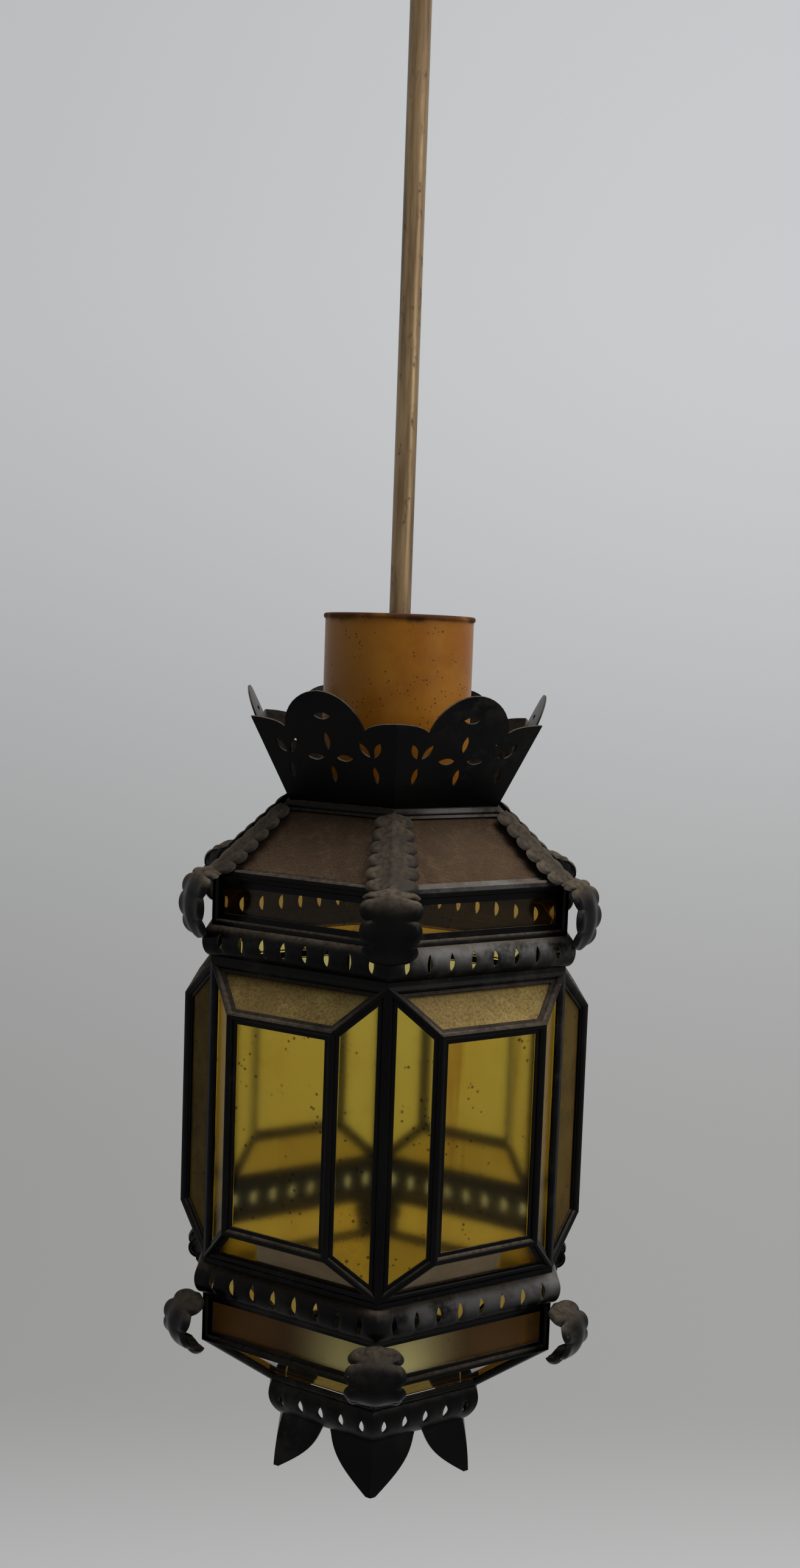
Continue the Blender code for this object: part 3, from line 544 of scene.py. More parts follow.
def aged_brass():
    """Brown aged brass with streaks and dark spots."""
    finish = Finish("aged_brass_rod", metallic=0.45)
    streaks = finish.cloud(260.0, 5.0, 0.6, finish.stretch(BRASS_STREAK))
    spots = finish.cloud(330.0, 5.0, 0.65, finish.stretch(BRASS_SPOT))
    colour = finish.mix(finish.ramp(streaks, 0.32, 0.68), *BRASS_TONES)
    tarnish = finish.ramp(spots, 0.56, 0.74)
    finish.set(Base_Color=finish.mix(tarnish, colour, TARNISH),
               Roughness=finish.ramp(tarnish, 0.0, 1.0, 0.36, 0.75))
    finish.bump(spots, 0.0004, 0.4)
    return finish.material


def plain_hardware(name, tones, roughness, metallic=0.0):
    """Small fittings: two tones of one stuff, a little uneven."""
    finish = Finish(name, metallic=metallic)
    patches = finish.cloud(150.0, 5.0)
    finish.set(Base_Color=finish.mix(patches, *tones),
               Roughness=finish.ramp(patches, 0.3, 0.7, roughness - 0.08, roughness + 0.15))
    finish.bump(patches, 0.0003, 0.3)
    return finish.material


TIN = black_tin("black_tin_fine")
# Tin with grey dust and a painted sheen on its right side
DUST_AND_SHEEN_TIN = black_tin("dust_and_sheen_tin", dust_and_sheen_share=0.85)
LEAF = black_tin("leaf_tin", dust_low=0.20, dust_high=0.85)
LOW_LEAF = black_tin("low_leaf_tin", dust_low=0.40, dust_high=1.15)
# Its down-facing panes carry the painted pale reflection
AMBER = amber_glass("amber_pane", AMBER_TINTS, GRIME, blur=0.165, low_reflection=0.85)
BAND_AMBER = amber_glass("band_amber_pane", BAND_TINTS, BROWN_STAIN, blur=0.035)
# Its bright olive coat near the front corner is a painted glow, turning brown away from that corner
FRONT_AMBER = amber_glass("front_amber_pane", PALE_TINTS, PAINTED_GLOW_OLIVE, blur=0.10, grime_and_glow=0.45, ends=BAND_END)
GRIMY_AMBER = amber_glass("grimy_amber_pane", BROWN_TINTS, GRIME, blur=0.165, grime_and_glow=0.82)
BROWN = amber_glass("brown_amber_pane", UPPER_TINTS, BROWN_STAIN, blur=0.0, grime_and_glow=0.12, frost=0.0)
DEEP_BROWN = amber_glass("deep_brown_pane", DEEP_BROWN_TINTS, GRIME, blur=0.035)
ROOF_GLASS = roof_glass()
OCHRE = ochre_paint()
BRASS = aged_brass()
STEEL = plain_hardware("dull_steel", STEEL_TONES, roughness=0.42, metallic=0.9)
BAKELITE = plain_hardware("black_bakelite", BAKELITE_TONES, roughness=0.34)
PORCELAIN = plain_hardware("white_porcelain", PORCELAIN_TONES, roughness=0.25)


def paint_nodes(finish, *starts):
    """Give a finish to every node whose name starts so."""
    for name, node in NODES.items():
        if name.startswith(starts):
            node.data.materials.clear()
            node.data.materials.append(finish)


# Pieces


def add_piece(name, mesh, finish, replaced, turn=0.0, body="lantern"):
    """New piece that stands for a node and rides on its body."""
    mesh.materials.clear()
    mesh.materials.append(finish)
    mesh.shade_smooth()
    mesh.set_sharp_from_angle(angle=math.radians(SHARP_ANGLE))
    piece = bpy.data.objects.new(name, mesh)
    piece.rotation_euler = (0.0, 0.0, turn)
    bpy.context.scene.collection.objects.link(piece)
    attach(piece, body)
    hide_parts(replaced)


def thick_mesh(mesh, even):
    """Mesh of a surface given a sheet's thickness behind it."""
    carrier = bpy.data.objects.new(mesh.name, mesh)
    bpy.context.scene.collection.objects.link(carrier)
    solid = carrier.modifiers.new("thickness", "SOLIDIFY")
    solid.thickness = SHEET
    solid.offset = -1.0
    solid.use_even_offset = even
    graph = bpy.context.evaluated_depsgraph_get()
    thick = bpy.data.meshes.new_from_object(carrier.evaluated_get(graph))
    bpy.data.objects.remove(carrier)
    bpy.data.meshes.remove(mesh)
    return thick


def plain_mesh(name, bm):
    """Mesh of a bmesh, which is freed."""
    mesh = bpy.data.meshes.new(name)
    bm.to_mesh(mesh)
    bm.free()
    return mesh


def welded_mesh(name, bm):
    """Mesh of a bmesh whose doubled points are joined."""
    bmesh.ops.remove_doubles(bm, verts=bm.verts, dist=WELD)
    bmesh.ops.recalc_face_normals(bm, faces=bm.faces)
    return plain_mesh(name, bm)


def add_sheet(name, bm, finish, replaced, even=True):
    """New tin piece from a bmesh of its outer surface."""
    add_piece(name, thick_mesh(welded_mesh(name, bm), even), finish, replaced)


def hex_ring(bm, radius, z):
    """Edges of one hexagon round the axis."""
    made = bmesh.ops.create_circle(bm, segments=SIDES, radius=radius, matrix=Matrix.Translation((0, 0, z)))
    return list({edge for vert in made["verts"] for edge in vert.link_edges})


def hex_walls(*rings):
    """Six-sided sheet through hexagons given as (corner radius, height): its bmesh and its walls."""
    bm = bmesh.new()
    walls = []
    for first, second in zip(rings, rings[1:]):
        edges = hex_ring(bm, *first) + hex_ring(bm, *second)
        walls.append(bmesh.ops.bridge_loops(bm, edges=edges)["faces"])
    bmesh.ops.remove_doubles(bm, verts=bm.verts, dist=RING_WELD)
    bmesh.ops.recalc_face_normals(bm, faces=bm.faces)
    return bm, walls


def set_cames(bm, faces, half=CAME_HALF):
    """Round each face off into half-round beads and flanges, and open its window."""
    across = 0.0
    down = 0.0
    for step in range(1, BEAD_STEPS + 1):
        angle = step / BEAD_STEPS * math.pi / 2
        width = BEAD_WIDTH / 2 * math.sin(angle)
        depth = BEAD_HEIGHT * (1 - math.cos(angle))
        bmesh.ops.inset_individual(bm, faces=faces, thickness=width - across, depth=down - depth,
                                   use_even_offset=True)
        across = width
        down = depth
    bmesh.ops.inset_individual(bm, faces=faces, thickness=half - across, use_even_offset=True)
    bmesh.ops.delete(bm, geom=faces, context="FACES")


def node_points(name):
    """Points of a node."""
    node = NODES[name]
    return [node.matrix_world @ vert.co for vert in node.data.vertices]


def corner_level(name):
    """Height of the six-sided node's outermost corner."""
    return max(node_points(name), key=lambda spot: spot.y).z


def radius_at(name, z):
    """Corner radius of a node at one height."""
    return max(math.hypot(spot.x, spot.y) for spot in node_points(name) if abs(spot.z - z) < LEVEL_REACH)


def side_point(radius, share, z, side):
    """Point on one side of a hexagon; share runs from -0.5 to 0.5 along it."""
    out = Vector((math.cos(side * TURN), math.sin(side * TURN), 0.0))
    along = Vector((-out.y, out.x, 0.0))
    return out * radius * COS30 + along * radius * share + Vector((0.0, 0.0, z))


def add_rows(bm, rows, skip=None):
    """Quads through rows of points; skip(row, column) leaves one out."""
    grid = [[bm.verts.new(point) for point in row] for row in rows]
    for row in range(len(grid) - 1):
        for column in range(len(grid[row]) - 1):
            if skip and skip(row, column):
                continue
            bm.faces.new((grid[row][column], grid[row][column + 1],
                          grid[row + 1][column + 1], grid[row + 1][column]))


def build_frames():
    """Came frames of the roof, the bands, the cage and the base."""
    top, foot = span("roof_frame")
    roof_top = radius_at("roof_frame", top)
    bore = (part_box("suspension_rod")[1].x + LEAF_GAP) / COS30
    eave = (BODY_RADIUS, foot + EAVE_LIP)
    bm, walls = hex_walls((bore, top), (roof_top, top), eave, (BODY_RADIUS, foot))
    set_cames(bm, walls[1])
    add_sheet("roof_frame_fine", bm, DUST_AND_SHEEN_TIN, "roof_frame")

    inner = BODY_RADIUS - FLANGE_IN
    top, foot = span("upper_band_frame")
    bm, walls = hex_walls((inner, top), (BODY_RADIUS, top), (BODY_RADIUS, foot), (inner, foot))
    set_cames(bm, walls[1], BAND_CAME_HALF)
    add_sheet("upper_band_fine", bm, TIN, "upper_band_frame")

    top, foot = span("body_cage")
    bm, walls = hex_walls((inner, top), (BODY_RADIUS, top), (BODY_RADIUS, top - CAGE_STRIP),
                          (BODY_RADIUS, foot + CAGE_STRIP), (BODY_RADIUS, foot), (inner, foot))
    bay_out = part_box("body_cage")[1].x - BODY_RADIUS * COS30
    bevels = bmesh.ops.inset_individual(bm, faces=walls[2], thickness=BAY_BEVEL, depth=bay_out,
                                        use_even_offset=True)["faces"]
    set_cames(bm, walls[2] + bevels)
    add_sheet("body_cage_fine", bm, TIN, "body_cage")

    top, foot = span("base_frame")
    base_radius = radius_at("base_frame", foot)
    slope = top - (level("upper_band_frame") - level("upper_band_frame", False))
    bm, walls = hex_walls((inner, top), (BODY_RADIUS, top), (BODY_RADIUS, slope), (base_radius, foot),
                          (base_radius - FLANGE_IN, foot))
    set_cames(bm, walls[1] + walls[2])
    add_sheet("base_frame_fine", bm, TIN, "base_frame")


def pierced_moulding(name, finish, profile, count, slot_at, slot_length):
    """Round moulding with creased slots; profile holds (corner radius, height), top first."""
    crest = max(radius for radius, z in profile)
    margin = (1 - count * SLOT_PITCH / crest) / 2
    bm = bmesh.new()

    def slot_half(z):
        reach = 2 * (z - slot_at) / slot_length
        return SLOT_WIDTH / 2 * max(0.0, 1 - reach * reach)

    first = -0.5 + margin
    columns = [(-0.5, 0.0)]
    for index in range(count):
        middle = first + (index + 0.5) * SLOT_PITCH / crest
        columns += [(middle + part * SLOT_PITCH / crest, 0.0) for part in CELL_PARTS]
        columns += [(middle, -1.0), (middle, 1.0)]
        columns += [(middle - part * SLOT_PITCH / crest, 0.0) for part in reversed(CELL_PARTS)]
    columns.append((0.5, 0.0))
    gaps = {column for column, (share, way) in enumerate(columns) if way == -1.0}

    def open_slot(row, column):
        if column not in gaps:
            return False
        return max(slot_half(profile[row][1]), slot_half(profile[row + 1][1])) > 0.0

    def crease(share):
        cell = (share - first) / (SLOT_PITCH / crest)
        if cell <= 0.0 or cell >= count:
            return 0.0
        return max(0.0, 1 - abs(cell % 1.0 - 0.5) / CREASE_REACH) ** 2

    for side in range(SIDES):
        rows = []
        for radius, z in profile:
            bulge = (radius - profile[0][0]) / (crest - profile[0][0])
            row = []
            for share, way in columns:
                sunk = radius - CREASE_DEPTH * crease(share) * bulge
                row.append(side_point(sunk, share + way * slot_half(z) / radius, z, side))
            rows.append(row)
        add_rows(bm, rows, open_slot)
    loose = [face for face in bm.faces if face.calc_area() < WELD * WELD]
    bmesh.ops.delete(bm, geom=loose, context="FACES")
    add_sheet(name + "_fine", bm, finish, name)


def half_round(name, out):
    """Profile of a large moulding: a flange, a half round with close rows along the slots, a flange."""
    top, foot = span(name)
    middle = (top + foot) / 2
    half = (top - foot) / 2
    reach = MOULD_SLOT_LENGTH / 2 / half
    shares = [math.cos(step / ROUND_ROWS * math.acos(reach)) for step in range(ROUND_ROWS)]
    shares += [reach * (1 - step / SLOT_ROWS) for step in range(SLOT_ROWS)]
    shares += [0.0] + [-share for share in reversed(shares)]
    profile = [(BODY_RADIUS - FLANGE_IN, top)]
    for share in shares:
        profile.append((BODY_RADIUS + out * math.sqrt(max(0.0, 1 - share * share)), middle + half * share))
    profile.append((BODY_RADIUS - FLANGE_IN, foot))
    return profile, middle


def ring_profile(name):
    """Profile of the small moulding, which bulges and draws in at its foot."""
    top, foot = span(name)
    head = radius_at("base_frame", level("base_frame", False))
    tail = radius_at(name, foot)
    slot_at = top - (top - foot) * RING_SLOT_SHARE
    heights = [top - (top - foot) * step / RING_ROWS for step in range(RING_ROWS + 1)]
    heights += [slot_at + RING_SLOT_LENGTH / 2, slot_at - RING_SLOT_LENGTH / 2]
    profile = [(head - FLANGE_IN, top)]
    for z in sorted(heights, reverse=True):
        share = (top - z) / (top - foot)
        bulge = RING_BULGE * math.sin(math.pi * share) ** RING_FULLNESS
        profile.append((head + (tail - head) * share + bulge, z))
    return profile, slot_at


def build_mouldings():
    """Two large pierced mouldings and the small one."""
    for name in ("upper_moulding", "lower_moulding"):
        profile, middle = half_round(name, corner_radius(name) - BODY_RADIUS)
        pierced_moulding(name, DUST_AND_SHEEN_TIN, profile, MOULD_SLOTS, middle, MOULD_SLOT_LENGTH)
    profile, middle = ring_profile("base_moulding")
    pierced_moulding("base_moulding", TIN, profile, RING_SLOTS, middle, RING_SLOT_LENGTH)


def almond(length, width, centre, angle):
    """Pointed slot along the given direction."""
    points = []
    for way in (1, -1):
        for step in range(ALMOND_STEPS):
            along = way * (step / ALMOND_STEPS - 0.5)
            points.append((along * length, way * width / 2 * (1 - (2 * along) ** 2)))
    turn = Matrix.Rotation(angle, 2)
    spun = [turn @ Vector(point) for point in points]
    return [(centre[0] + point.x, centre[1] + point.y) for point in spun]


def inside(point, outline):
    """Whether a point lies inside a closed outline."""
    hit = False
    for index, (x0, y0) in enumerate(outline):
        x1, y1 = outline[index - 1]
        if (y0 > point[1]) != (y1 > point[1]) and point[0] < (x1 - x0) * (point[1] - y0) / (y1 - y0) + x0:
            hit = not hit
    return hit


def on_panel(point, outlines):
    """Whether a point lies inside the first outline and in none of the holes that follow it."""
    return inside(point, outlines[0]) and not any(inside(point, hole) for hole in outlines[1:])


def fine_panel(outlines, spacing):
    """Points and triangles of a flat outline with holes, with inner points to bend it by."""
    points = []
    loops = []
    for outline in outlines:
        loops.append(list(range(len(points), len(points) + len(outline))))
        points += [Vector(point) for point in outline]
    edge_points = list(points)
    low = [min(point[axis] for point in edge_points) for axis in (0, 1)]
    high = [max(point[axis] for point in edge_points) for axis in (0, 1)]
    columns = int((high[0] - low[0]) / spacing)
    lines = int((high[1] - low[1]) / spacing)
    for column in range(1, columns):
        for line in range(1, lines):
            spot = Vector((low[0] + (high[0] - low[0]) * column / columns,
                           low[1] + (high[1] - low[1]) * line / lines))
            if not on_panel(spot, outlines):
                continue
            if min((spot - point).length for point in edge_points) > spacing * PANEL_CLEAR:
                points.append(spot)
    made = delaunay_2d_cdt(points, [], loops, INSIDE_ONLY, CDT_EPSILON, False)
    triangles = []
    for face in made[2]:
        corners = [made[0][index] for index in face]
        centre = sum(corners, Vector((0.0, 0.0))) / len(corners)
        if area_tri(*corners) >= SLIVER and on_panel(centre, outlines):
            triangles.append(face)
    return made[0], triangles


def add_panel(bm, spots, triangles, place):
    """Triangles of a panel, each point put where place(point) says."""
    verts = [bm.verts.new(place(spot)) for spot in spots]
    for triangle in triangles:
        bm.faces.new([verts[index] for index in triangle])


def even_line(start, end, spacing):
    """Points from start up to, and without, end."""
    start, end = Vector(start), Vector(end)
    count = max(1, round((end - start).length / spacing))
    return [tuple(start.lerp(end, step / count)) for step in range(count)]


def add_strip(bm, spots, line, first, second, side):
    """Plain strip on one side between two hexagons, with the points of the panel's edge that it meets."""
    places = sorted(spot.x for spot in spots if abs(spot.y - line) < WELD)
    shares = [place / second[0] for place in places]
    rows = [[side_point(radius, share, z, side) for share in shares] for radius, z in (first, second)]
    add_rows(bm, rows)


def crown_panel(lower, upper, length):
    """Outline and slots of one crown side, in the sheet's own plane."""
    stretch = length / (upper[1] - lower[1])
    notch = CROWN_NOTCH_HEIGHT * stretch
    peak = (level("crown") - lower[1]) * stretch
    outline = even_line((-lower[0] / 2, 0.0), (lower[0] / 2, 0.0), PANEL_SPACING)
    outline += even_line((lower[0] / 2, 0.0), (upper[0] / 2, length), PANEL_SPACING)
    width = upper[0] / 2 - CROWN_NOTCH_AT
    scallop = []
    for step in range(ARC_STEPS):
        angle = step / ARC_STEPS * math.pi / 2
        scallop.append((upper[0] / 2 - width * math.sin(angle), notch + (length - notch) * math.cos(angle)))
    rise = peak - notch
    arc = (CROWN_NOTCH_AT ** 2 + rise ** 2) / (2 * rise)
    spread = math.asin(CROWN_NOTCH_AT / arc)
    outline += scallop
    for step in range(2 * ARC_STEPS + 1):
        angle = spread * (1 - step / ARC_STEPS)
        outline.append((arc * math.sin(angle), peak - arc + arc * math.cos(angle)))
    outline += [(-x, y) for x, y in reversed(scallop)]
    outline += even_line((-upper[0] / 2, length), (-lower[0] / 2, 0.0), PANEL_SPACING)[1:]

    def slot(x, height, angle):
        return almond(CROWN_SLOT_LENGTH, CROWN_SLOT_WIDTH, (x, height * stretch), angle)

    slots = [slot(0.0, peak / stretch - PETAL_SLOT_DROP, 0.0)]
    for quarter in range(4):
        angle = quarter * math.pi / 2
        height = CROSS_HEIGHT + CROSS_REACH * math.sin(angle)
        slots.append(slot(CROSS_REACH * math.cos(angle), height, angle))
    for way in (-1, 1):
        for arm in TREFOIL_ARMS:
            angle = math.radians(arm)
            x = way * TREFOIL_AT + TREFOIL_REACH * math.cos(angle)
            slots.append(slot(x, TREFOIL_HEIGHT + TREFOIL_REACH * math.sin(angle), angle))
    return [outline] + slots


def build_crown():
    """Pierced crown with petals that lean inward a little."""
    base = level("crown", False)
    lower = (radius_at("crown", base), base)
    upper = (corner_radius("crown"), corner_level("crown"))
    length = math.hypot((upper[0] - lower[0]) * COS30, upper[1] - lower[1])
    spots, triangles = fine_panel(crown_panel(lower, upper, length), PANEL_SPACING)
    bm = bmesh.new()
    for side in range(SIDES):
        add_strip(bm, spots, 0.0, (lower[0] - FLANGE_IN, base), lower, side)
        out = Vector((math.cos(side * TURN), math.sin(side * TURN), 0.0))
        along = Vector((-out.y, out.x, 0.0))
        up = (out * (upper[0] - lower[0]) * COS30 + Vector((0.0, 0.0, upper[1] - lower[1]))).normalized()
        face = along.cross(up)
        foot = out * lower[0] * COS30 + Vector((0.0, 0.0, base))

        def leaned(spot):
            lean = max(0.0, spot.y - length * PETAL_BEND_FROM) ** 2 * PETAL_BEND
            lean *= max(0.0, 1 - (spot.x / CROWN_NOTCH_AT) ** 2)
            return foot + along * spot.x + up * spot.y - face * lean

        add_panel(bm, spots, triangles, leaned)
    add_sheet("crown_fine", bm, TIN, "crown", False)


def build_skirt():
    """Petal skirt: rounded petals, each folded on a corner."""
    top, foot = span("petal_skirt")
    band = radius_at("petal_skirt", top)
    tip = corner_radius("petal_skirt")
    neck = top - SKIRT_BAND
    length = math.hypot((tip - band) * COS30, neck - foot)
    half = []
    for step in range(PETAL_STEPS + 1):
        share = step / PETAL_STEPS
        corner = (tip + (band - tip) * share) / 2
        reach = PETAL_TIP_HALF * (1 - share) + (band - PETAL_SPACE) / 2 * share
        reach += PETAL_BELLY * math.sin(math.pi * share)
        half.append((corner - reach, length * share))
    outline = even_line((tip / 2, 0.0), (band / 2, length), PANEL_SPACING)
    outline += even_line((band / 2, length), (-band / 2, length), PANEL_SPACING)
    outline += even_line((-band / 2, length), (-tip / 2, 0.0), PANEL_SPACING) + [(-tip / 2, 0.0)]
    outline += [(-x, y) for x, y in half[:-1]]
    gap_top = length * (1 - PETAL_GAP_SHARE)
    outline += [(-PETAL_SPACE / 2, gap_top), (PETAL_SPACE / 2, gap_top)]
    outline += list(reversed(half[:-1]))
    spots, triangles = fine_panel([outline], PANEL_SPACING)
    bm = bmesh.new()
    for side in range(SIDES):
        add_strip(bm, spots, length, (band, top), (band, neck), side)

        def rounded(spot):
            share = spot.y / length
            flat = tip + (band - tip) * share
            radius = flat + PETAL_ROUND * math.sin(math.pi * share)
            return side_point(radius, spot.x / flat, foot + (neck - foot) * share, side)

        add_panel(bm, spots, triangles, rounded)
    add_sheet("skirt_fine", bm, TIN, "petal_skirt", False)


def lobe(share, count):
    """Width of a scalloped edge, 0 in the nicks and 1 on the lobes."""
    return abs(math.sin(math.pi * share * count)) ** LOBE_FULLNESS


def hip_leaf_path(share):
    """Hip leaf: straight down the hip, then round the curl in front of the upper band."""
    top = Vector((radius_at("roof_frame", level("roof_frame")), level("roof_frame")))
    eave = Vector((BODY_RADIUS, level("roof_frame", False) + EAVE_LIP))
    hip = eave - top
    along = hip.normalized()
    up = Vector((-along.y, along.x))
    lift = up * (SHEET + LEAF_GAP)
    start = top + along * LEAF_START + lift
    neck = eave + lift * NECK_LIFT
    reach = HIP_LOBES / (HIP_LOBES + CURL_LOBES)
    hip_fold = TAN30 * -hip.y / hip.length
    if share <= reach:
        part = share / reach
        swell = lobe(part, HIP_LOBES)
        half = LEAF_TOP_HALF + (LEAF_HALF_WIDTH - LEAF_TOP_HALF) * part - HIP_LOBE_DEPTH * (1 - swell)
        half += (LEAF_NECK_HALF - LEAF_HALF_WIDTH) * part ** NECK_POWER
        return start.lerp(neck, part), up, half, hip_fold, swell * HIP_EMBOSS, HIP_RIDGE
    part = (share - reach) / (1 - reach)
    swell = lobe(part, CURL_LOBES)
    centre = Vector((BODY_RADIUS + CURL_OUT * CURL_CENTRE_OUT,
                     level("roof_frame", False) + 2 * EAVE_LIP - CURL_TALL))
    angle = math.radians(CURL_START + (CURL_END - CURL_START) * part)
    normal = Vector((math.cos(angle) / CURL_OUT, math.sin(angle) / CURL_TALL)).normalized()
    point = centre + Vector((CURL_OUT * math.cos(angle), CURL_TALL * math.sin(angle)))
    half = CURL_HALF_WIDTH - LEAF_LOBE_DEPTH * (1 - swell)
    half += (LEAF_NECK_HALF - CURL_HALF_WIDTH) * (1 - part) ** CURL_NECK_POWER
    half += (CURL_TIP_HALF - CURL_HALF_WIDTH) * part ** CURL_TIP_POWER
    fold = CURL_FOLD * min(1.0, FOLD_BLEND * part) + hip_fold * max(0.0, 1 - FOLD_BLEND * part)
    blend = min(1.0, RELIEF_BLEND * part)
    emboss = swell * (HIP_EMBOSS + (CURL_EMBOSS - HIP_EMBOSS) * blend)
    return point, normal, half, fold, emboss, HIP_RIDGE + (CURL_RIDGE - HIP_RIDGE) * blend


def lower_leaf_path(share):
    """Lower leaf: a round curl in front of the lower band."""
    centre = Vector((BODY_RADIUS + LOWER_CURL_RADIUS * LOWER_CENTRE_OUT,
                     level("base_frame") - LOWER_CURL_RADIUS))
    angle = math.radians(LOWER_CURL_END * (1 - 2 * share))
    normal = Vector((math.cos(angle), math.sin(angle)))
    swell = lobe(share, LOWER_CURL_LOBES)
    half = CURL_HALF_WIDTH - LEAF_LOBE_DEPTH * (1 - swell)
    half += (CURL_TIP_HALF - CURL_HALF_WIDTH) * (share ** LOWER_TIP_POWER + (1 - share) ** LOWER_TIP_POWER)
    return centre + normal * LOWER_CURL_RADIUS, normal, half, CURL_FOLD, swell * CURL_EMBOSS, CURL_RIDGE


def leaf_mesh(name, path, lobes):
    """Sheet leaf folded on its midrib, with embossed lobes."""
    bm = bmesh.new()
    rows = []
    steps = lobes * LOBE_STEPS
    for step in range(steps + 1):
        point, normal, half, fold, emboss, ridge = path(step / steps)
        row = []
        for column in range(LEAF_COLUMNS + 1):
            across = 2 * column / LEAF_COLUMNS - 1
            raised = emboss * min(1.0, abs(across) / EMBOSS_FROM) ** EMBOSS_POWER
            raised -= emboss * EDGE_DROP * max(0.0, (abs(across) - EDGE_FROM) / (1 - EDGE_FROM)) ** 2
            bend = fold * half * (math.sqrt(across * across + ridge ** 2) - ridge)
            spot = point + normal * (raised - bend)
            row.append(Vector((spot.x, across * half, spot.y)))
        rows.append(row)
    add_rows(bm, rows)
    bmesh.ops.recalc_face_normals(bm, faces=bm.faces)
    outward = sum(face.normal.x * face.calc_area() for face in bm.faces)
    if outward < 0:
        bmesh.ops.reverse_faces(bm, faces=bm.faces)
    return thick_mesh(plain_mesh(name, bm), False)


def build_leaves():
    """Six hip leaves and six lower leaves."""
    hip = leaf_mesh("hip_leaf", hip_leaf_path, HIP_LOBES + CURL_LOBES)
    low = leaf_mesh("low_leaf", lower_leaf_path, LOWER_CURL_LOBES)
    for corner in range(SIDES):
        turn = CORNER_ANGLE + corner * TURN
        add_piece(f"hip_leaf_{corner + 1}", hip, LEAF, f"upper_leaf_{corner + 1}", turn)
        add_piece(f"low_leaf_{corner + 1}", low, LOW_LEAF, f"lower_leaf_{corner + 1}", turn)


def turned_mesh(name, profile, steps):
    """Turned piece from a closed profile of (radius, height)."""
    bm = bmesh.new()
    closed = profile + profile[:1]
    rows = []
    for step in range(steps + 1):
        angle = 2 * math.pi * (step % steps) / steps
        x, y = math.cos(angle), math.sin(angle)
        rows.append([Vector((radius * x, radius * y, z)) for radius, z in closed])
    add_rows(bm, rows)
    return welded_mesh(name, bm)


def build_suspension():
    """Smooth rod, and a cup with a rolled rim."""
    top, foot = span("suspension_rod")
    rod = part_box("suspension_rod")[1].x
    spans = [top + (foot - top) * step / ROD_SPANS for step in range(ROD_SPANS + 1)]
    profile = [(rod, z) for z in spans] + [(rod - ROD_WALL, foot), (rod - ROD_WALL, top)]
    tube = turned_mesh("rod_fine", profile, ROD_SIDES)
    add_piece("rod_fine", tube, BRASS, "suspension_rod")

    rim, foot = span("canopy_cup")
    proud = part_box("canopy_cup")[1].y
    wall = proud - CUP_RIM_PROUD
    inner = wall - CUP_WALL
    bead = CUP_RIM_HEIGHT / 2
    profile = []
    for step in range(CUP_ARC_STEPS + 1):
        angle = math.pi / 2 - step / CUP_ARC_STEPS * math.pi
        profile.append((wall + CUP_RIM_PROUD * math.cos(angle), rim - bead + bead * math.sin(angle)))
    height = foot + CUP_FOOT_RADIUS - rim + CUP_RIM_HEIGHT
    for step in range(1, CUP_ROWS):
        profile.append((wall, rim - CUP_RIM_HEIGHT + height * step / CUP_ROWS))
    for step in range(CUP_ARC_STEPS + 1):
        angle = step / CUP_ARC_STEPS * math.pi / 2
        profile.append((wall - CUP_FOOT_RADIUS * (1 - math.cos(angle)),
                        foot + CUP_FOOT_RADIUS * (1 - math.sin(angle))))
    floor = foot + CUP_WALL
    hole = rod + CUP_HOLE_FIT
    profile += [(hole, foot), (hole, floor), (inner - CUP_FOOT_RADIUS, floor),
                (inner, floor + CUP_FOOT_RADIUS), (inner, rim - bead)]
    cup = turned_mesh("cup_fine", profile, CUP_SIDES)
    add_piece("cup_fine", cup, OCHRE, "canopy_cup", body="canopy")


# Finishes of the nodes that are shown, then the pieces that replace the others
paint_nodes(AMBER, "face_pane", "bevel_panes")
paint_nodes(BAND_AMBER, "lower_band_pane")
paint_nodes(FRONT_AMBER, *(f"lower_band_pane_{side}" for side in FRONT_SIDES))
paint_nodes(BROWN, "upper_band_pane")
paint_nodes(DEEP_BROWN, "base_glazing")
paint_nodes(GRIMY_AMBER, *(f"{row}_{side}" for row in ("face_pane", "bevel_panes") for side in GRIMY_SIDES))
paint_nodes(ROOF_GLASS, "roof_pane")
paint_nodes(STEEL, "ceiling_strap", "ceiling_lock_nut", "rod_nut")
paint_nodes(BAKELITE, "lampholder_cap", "lampholder_shell")
paint_nodes(PORCELAIN, "lampholder_insert")
build_suspension()
build_crown()
build_frames()
build_mouldings()
build_skirt()
build_leaves()


# Stage, light and camera


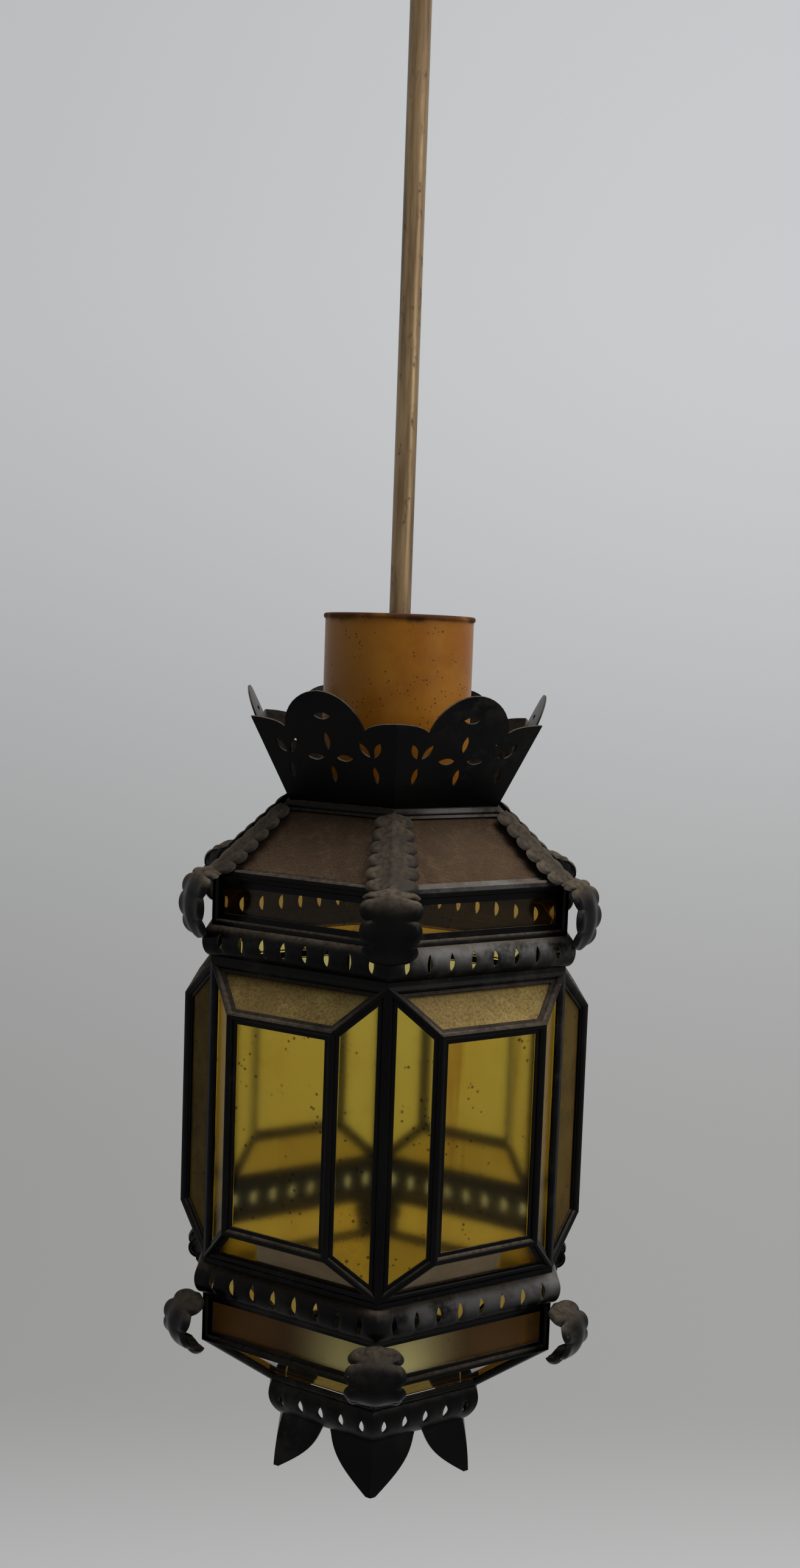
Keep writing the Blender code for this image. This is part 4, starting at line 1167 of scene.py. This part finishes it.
def build_stage():
    """Pale floor that sweeps up into a backdrop."""
    profile = [(-STAGE_HALF_WIDTH, FLOOR_Z)]
    for step in range(SWEEP_STEPS + 1):
        angle = step / SWEEP_STEPS * math.pi / 2
        profile.append((BACKDROP_Y - SWEEP_RADIUS + SWEEP_RADIUS * math.sin(angle),
                        FLOOR_Z + SWEEP_RADIUS - SWEEP_RADIUS * math.cos(angle)))
    profile.append((BACKDROP_Y, BACKDROP_HIGH_Z))
    mesh = bpy.data.meshes.new("sweep")
    verts = [(x, y, z) for x in (-STAGE_HALF_WIDTH, STAGE_HALF_WIDTH) for y, z in profile]
    count = len(profile)
    faces = [(i, i + count, i + count + 1, i + 1) for i in range(count - 1)]
    mesh.from_pydata(verts, [], faces)
    mesh.shade_smooth()
    sweep = bpy.data.objects.new("sweep", mesh)
    bpy.context.scene.collection.objects.link(sweep)

    finish = Finish("sweep_paper", PAPER_ROUGHNESS)
    # Painted shade: darker towards the backdrop's foot and at the left
    tone = finish.mix(finish.ramp(finish.spot("Z"), FLOOR_Z, TONE_TOP_Z), BACKDROP_FOOT, BACKDROP_TOP)
    tone = finish.mix(finish.ramp(finish.spot("Y"), *TONE_SPAN_Y), tone, FLOOR_TONE)
    bright = finish.ramp(finish.spot("X"), *SHADE_SPAN_X, LEFT_SHADE, 1.0)
    finish.set(Base_Color=tone)
    glow = finish.add("Emission")
    finish.links.new(tone, glow.inputs["Color"])
    finish.links.new(bright, glow.inputs["Strength"])
    blend = finish.add("MixShader")
    finish.links.new(finish.both(finish.seen(), GLOW_SHARE), blend.inputs[0])
    finish.links.new(finish.shader.outputs[0], blend.inputs[1])
    finish.links.new(glow.outputs[0], blend.inputs[2])
    finish.links.new(blend.outputs[0], finish.nodes["Material Output"].inputs["Surface"])
    mesh.materials.append(finish.material)


def build_world():
    """Surroundings: bright behind the object, dim behind the camera, pale where they are seen."""
    world = bpy.data.worlds.new("studio")
    bpy.context.scene.world = world
    world.use_nodes = True
    graph = Graph(world.node_tree)
    sky = graph.nodes["Background"]
    sky.inputs["Color"].default_value = (*BACKDROP_TOP, 1.0)
    way = graph.add("TexCoord").outputs["Generated"]
    room = graph.ramp(graph.axis(way, "Y"), *ROOM_SPAN_Y, ROOM_DARK, ROOM_BRIGHT, "LINEAR")
    graph.links.new(graph.math("MAXIMUM", room, graph.seen()), sky.inputs["Strength"])


def add_light(name, at, size, power):
    """Soft square lamp that looks at the lantern."""
    data = bpy.data.lights.new(name, "AREA")
    data.size = size
    data.energy = power
    lamp = bpy.data.objects.new(name, data)
    lamp.location = at
    lamp.rotation_euler = (Vector(LIGHT_AIM) - Vector(at)).to_track_quat("-Z", "Y").to_euler()
    bpy.context.scene.collection.objects.link(lamp)


def build_camera():
    """Camera at the photograph's place; the last turn levels it, since a new camera looks down."""
    data = bpy.data.cameras.new("photo_camera")
    data.lens = CAMERA_LENS
    data.clip_start = CAMERA_NEAR
    camera = bpy.data.objects.new("photo_camera", data)
    place = Matrix.Translation(CAMERA_AT)
    for degrees, axis in ((CAMERA_YAW, "Z"), (CAMERA_ROLL, "Y"), (CAMERA_TILT, "X"), (90.0, "X")):
        place = place @ Matrix.Rotation(math.radians(degrees), 4, axis)
    camera.matrix_world = place
    bpy.context.scene.collection.objects.link(camera)
    bpy.context.scene.camera = camera


build_stage()
build_world()
add_light("top_soft", *TOP_SOFT)
add_light("side_fill", *SIDE_FILL)
build_camera()
bpy.context.scene.view_settings.view_transform = "Standard"
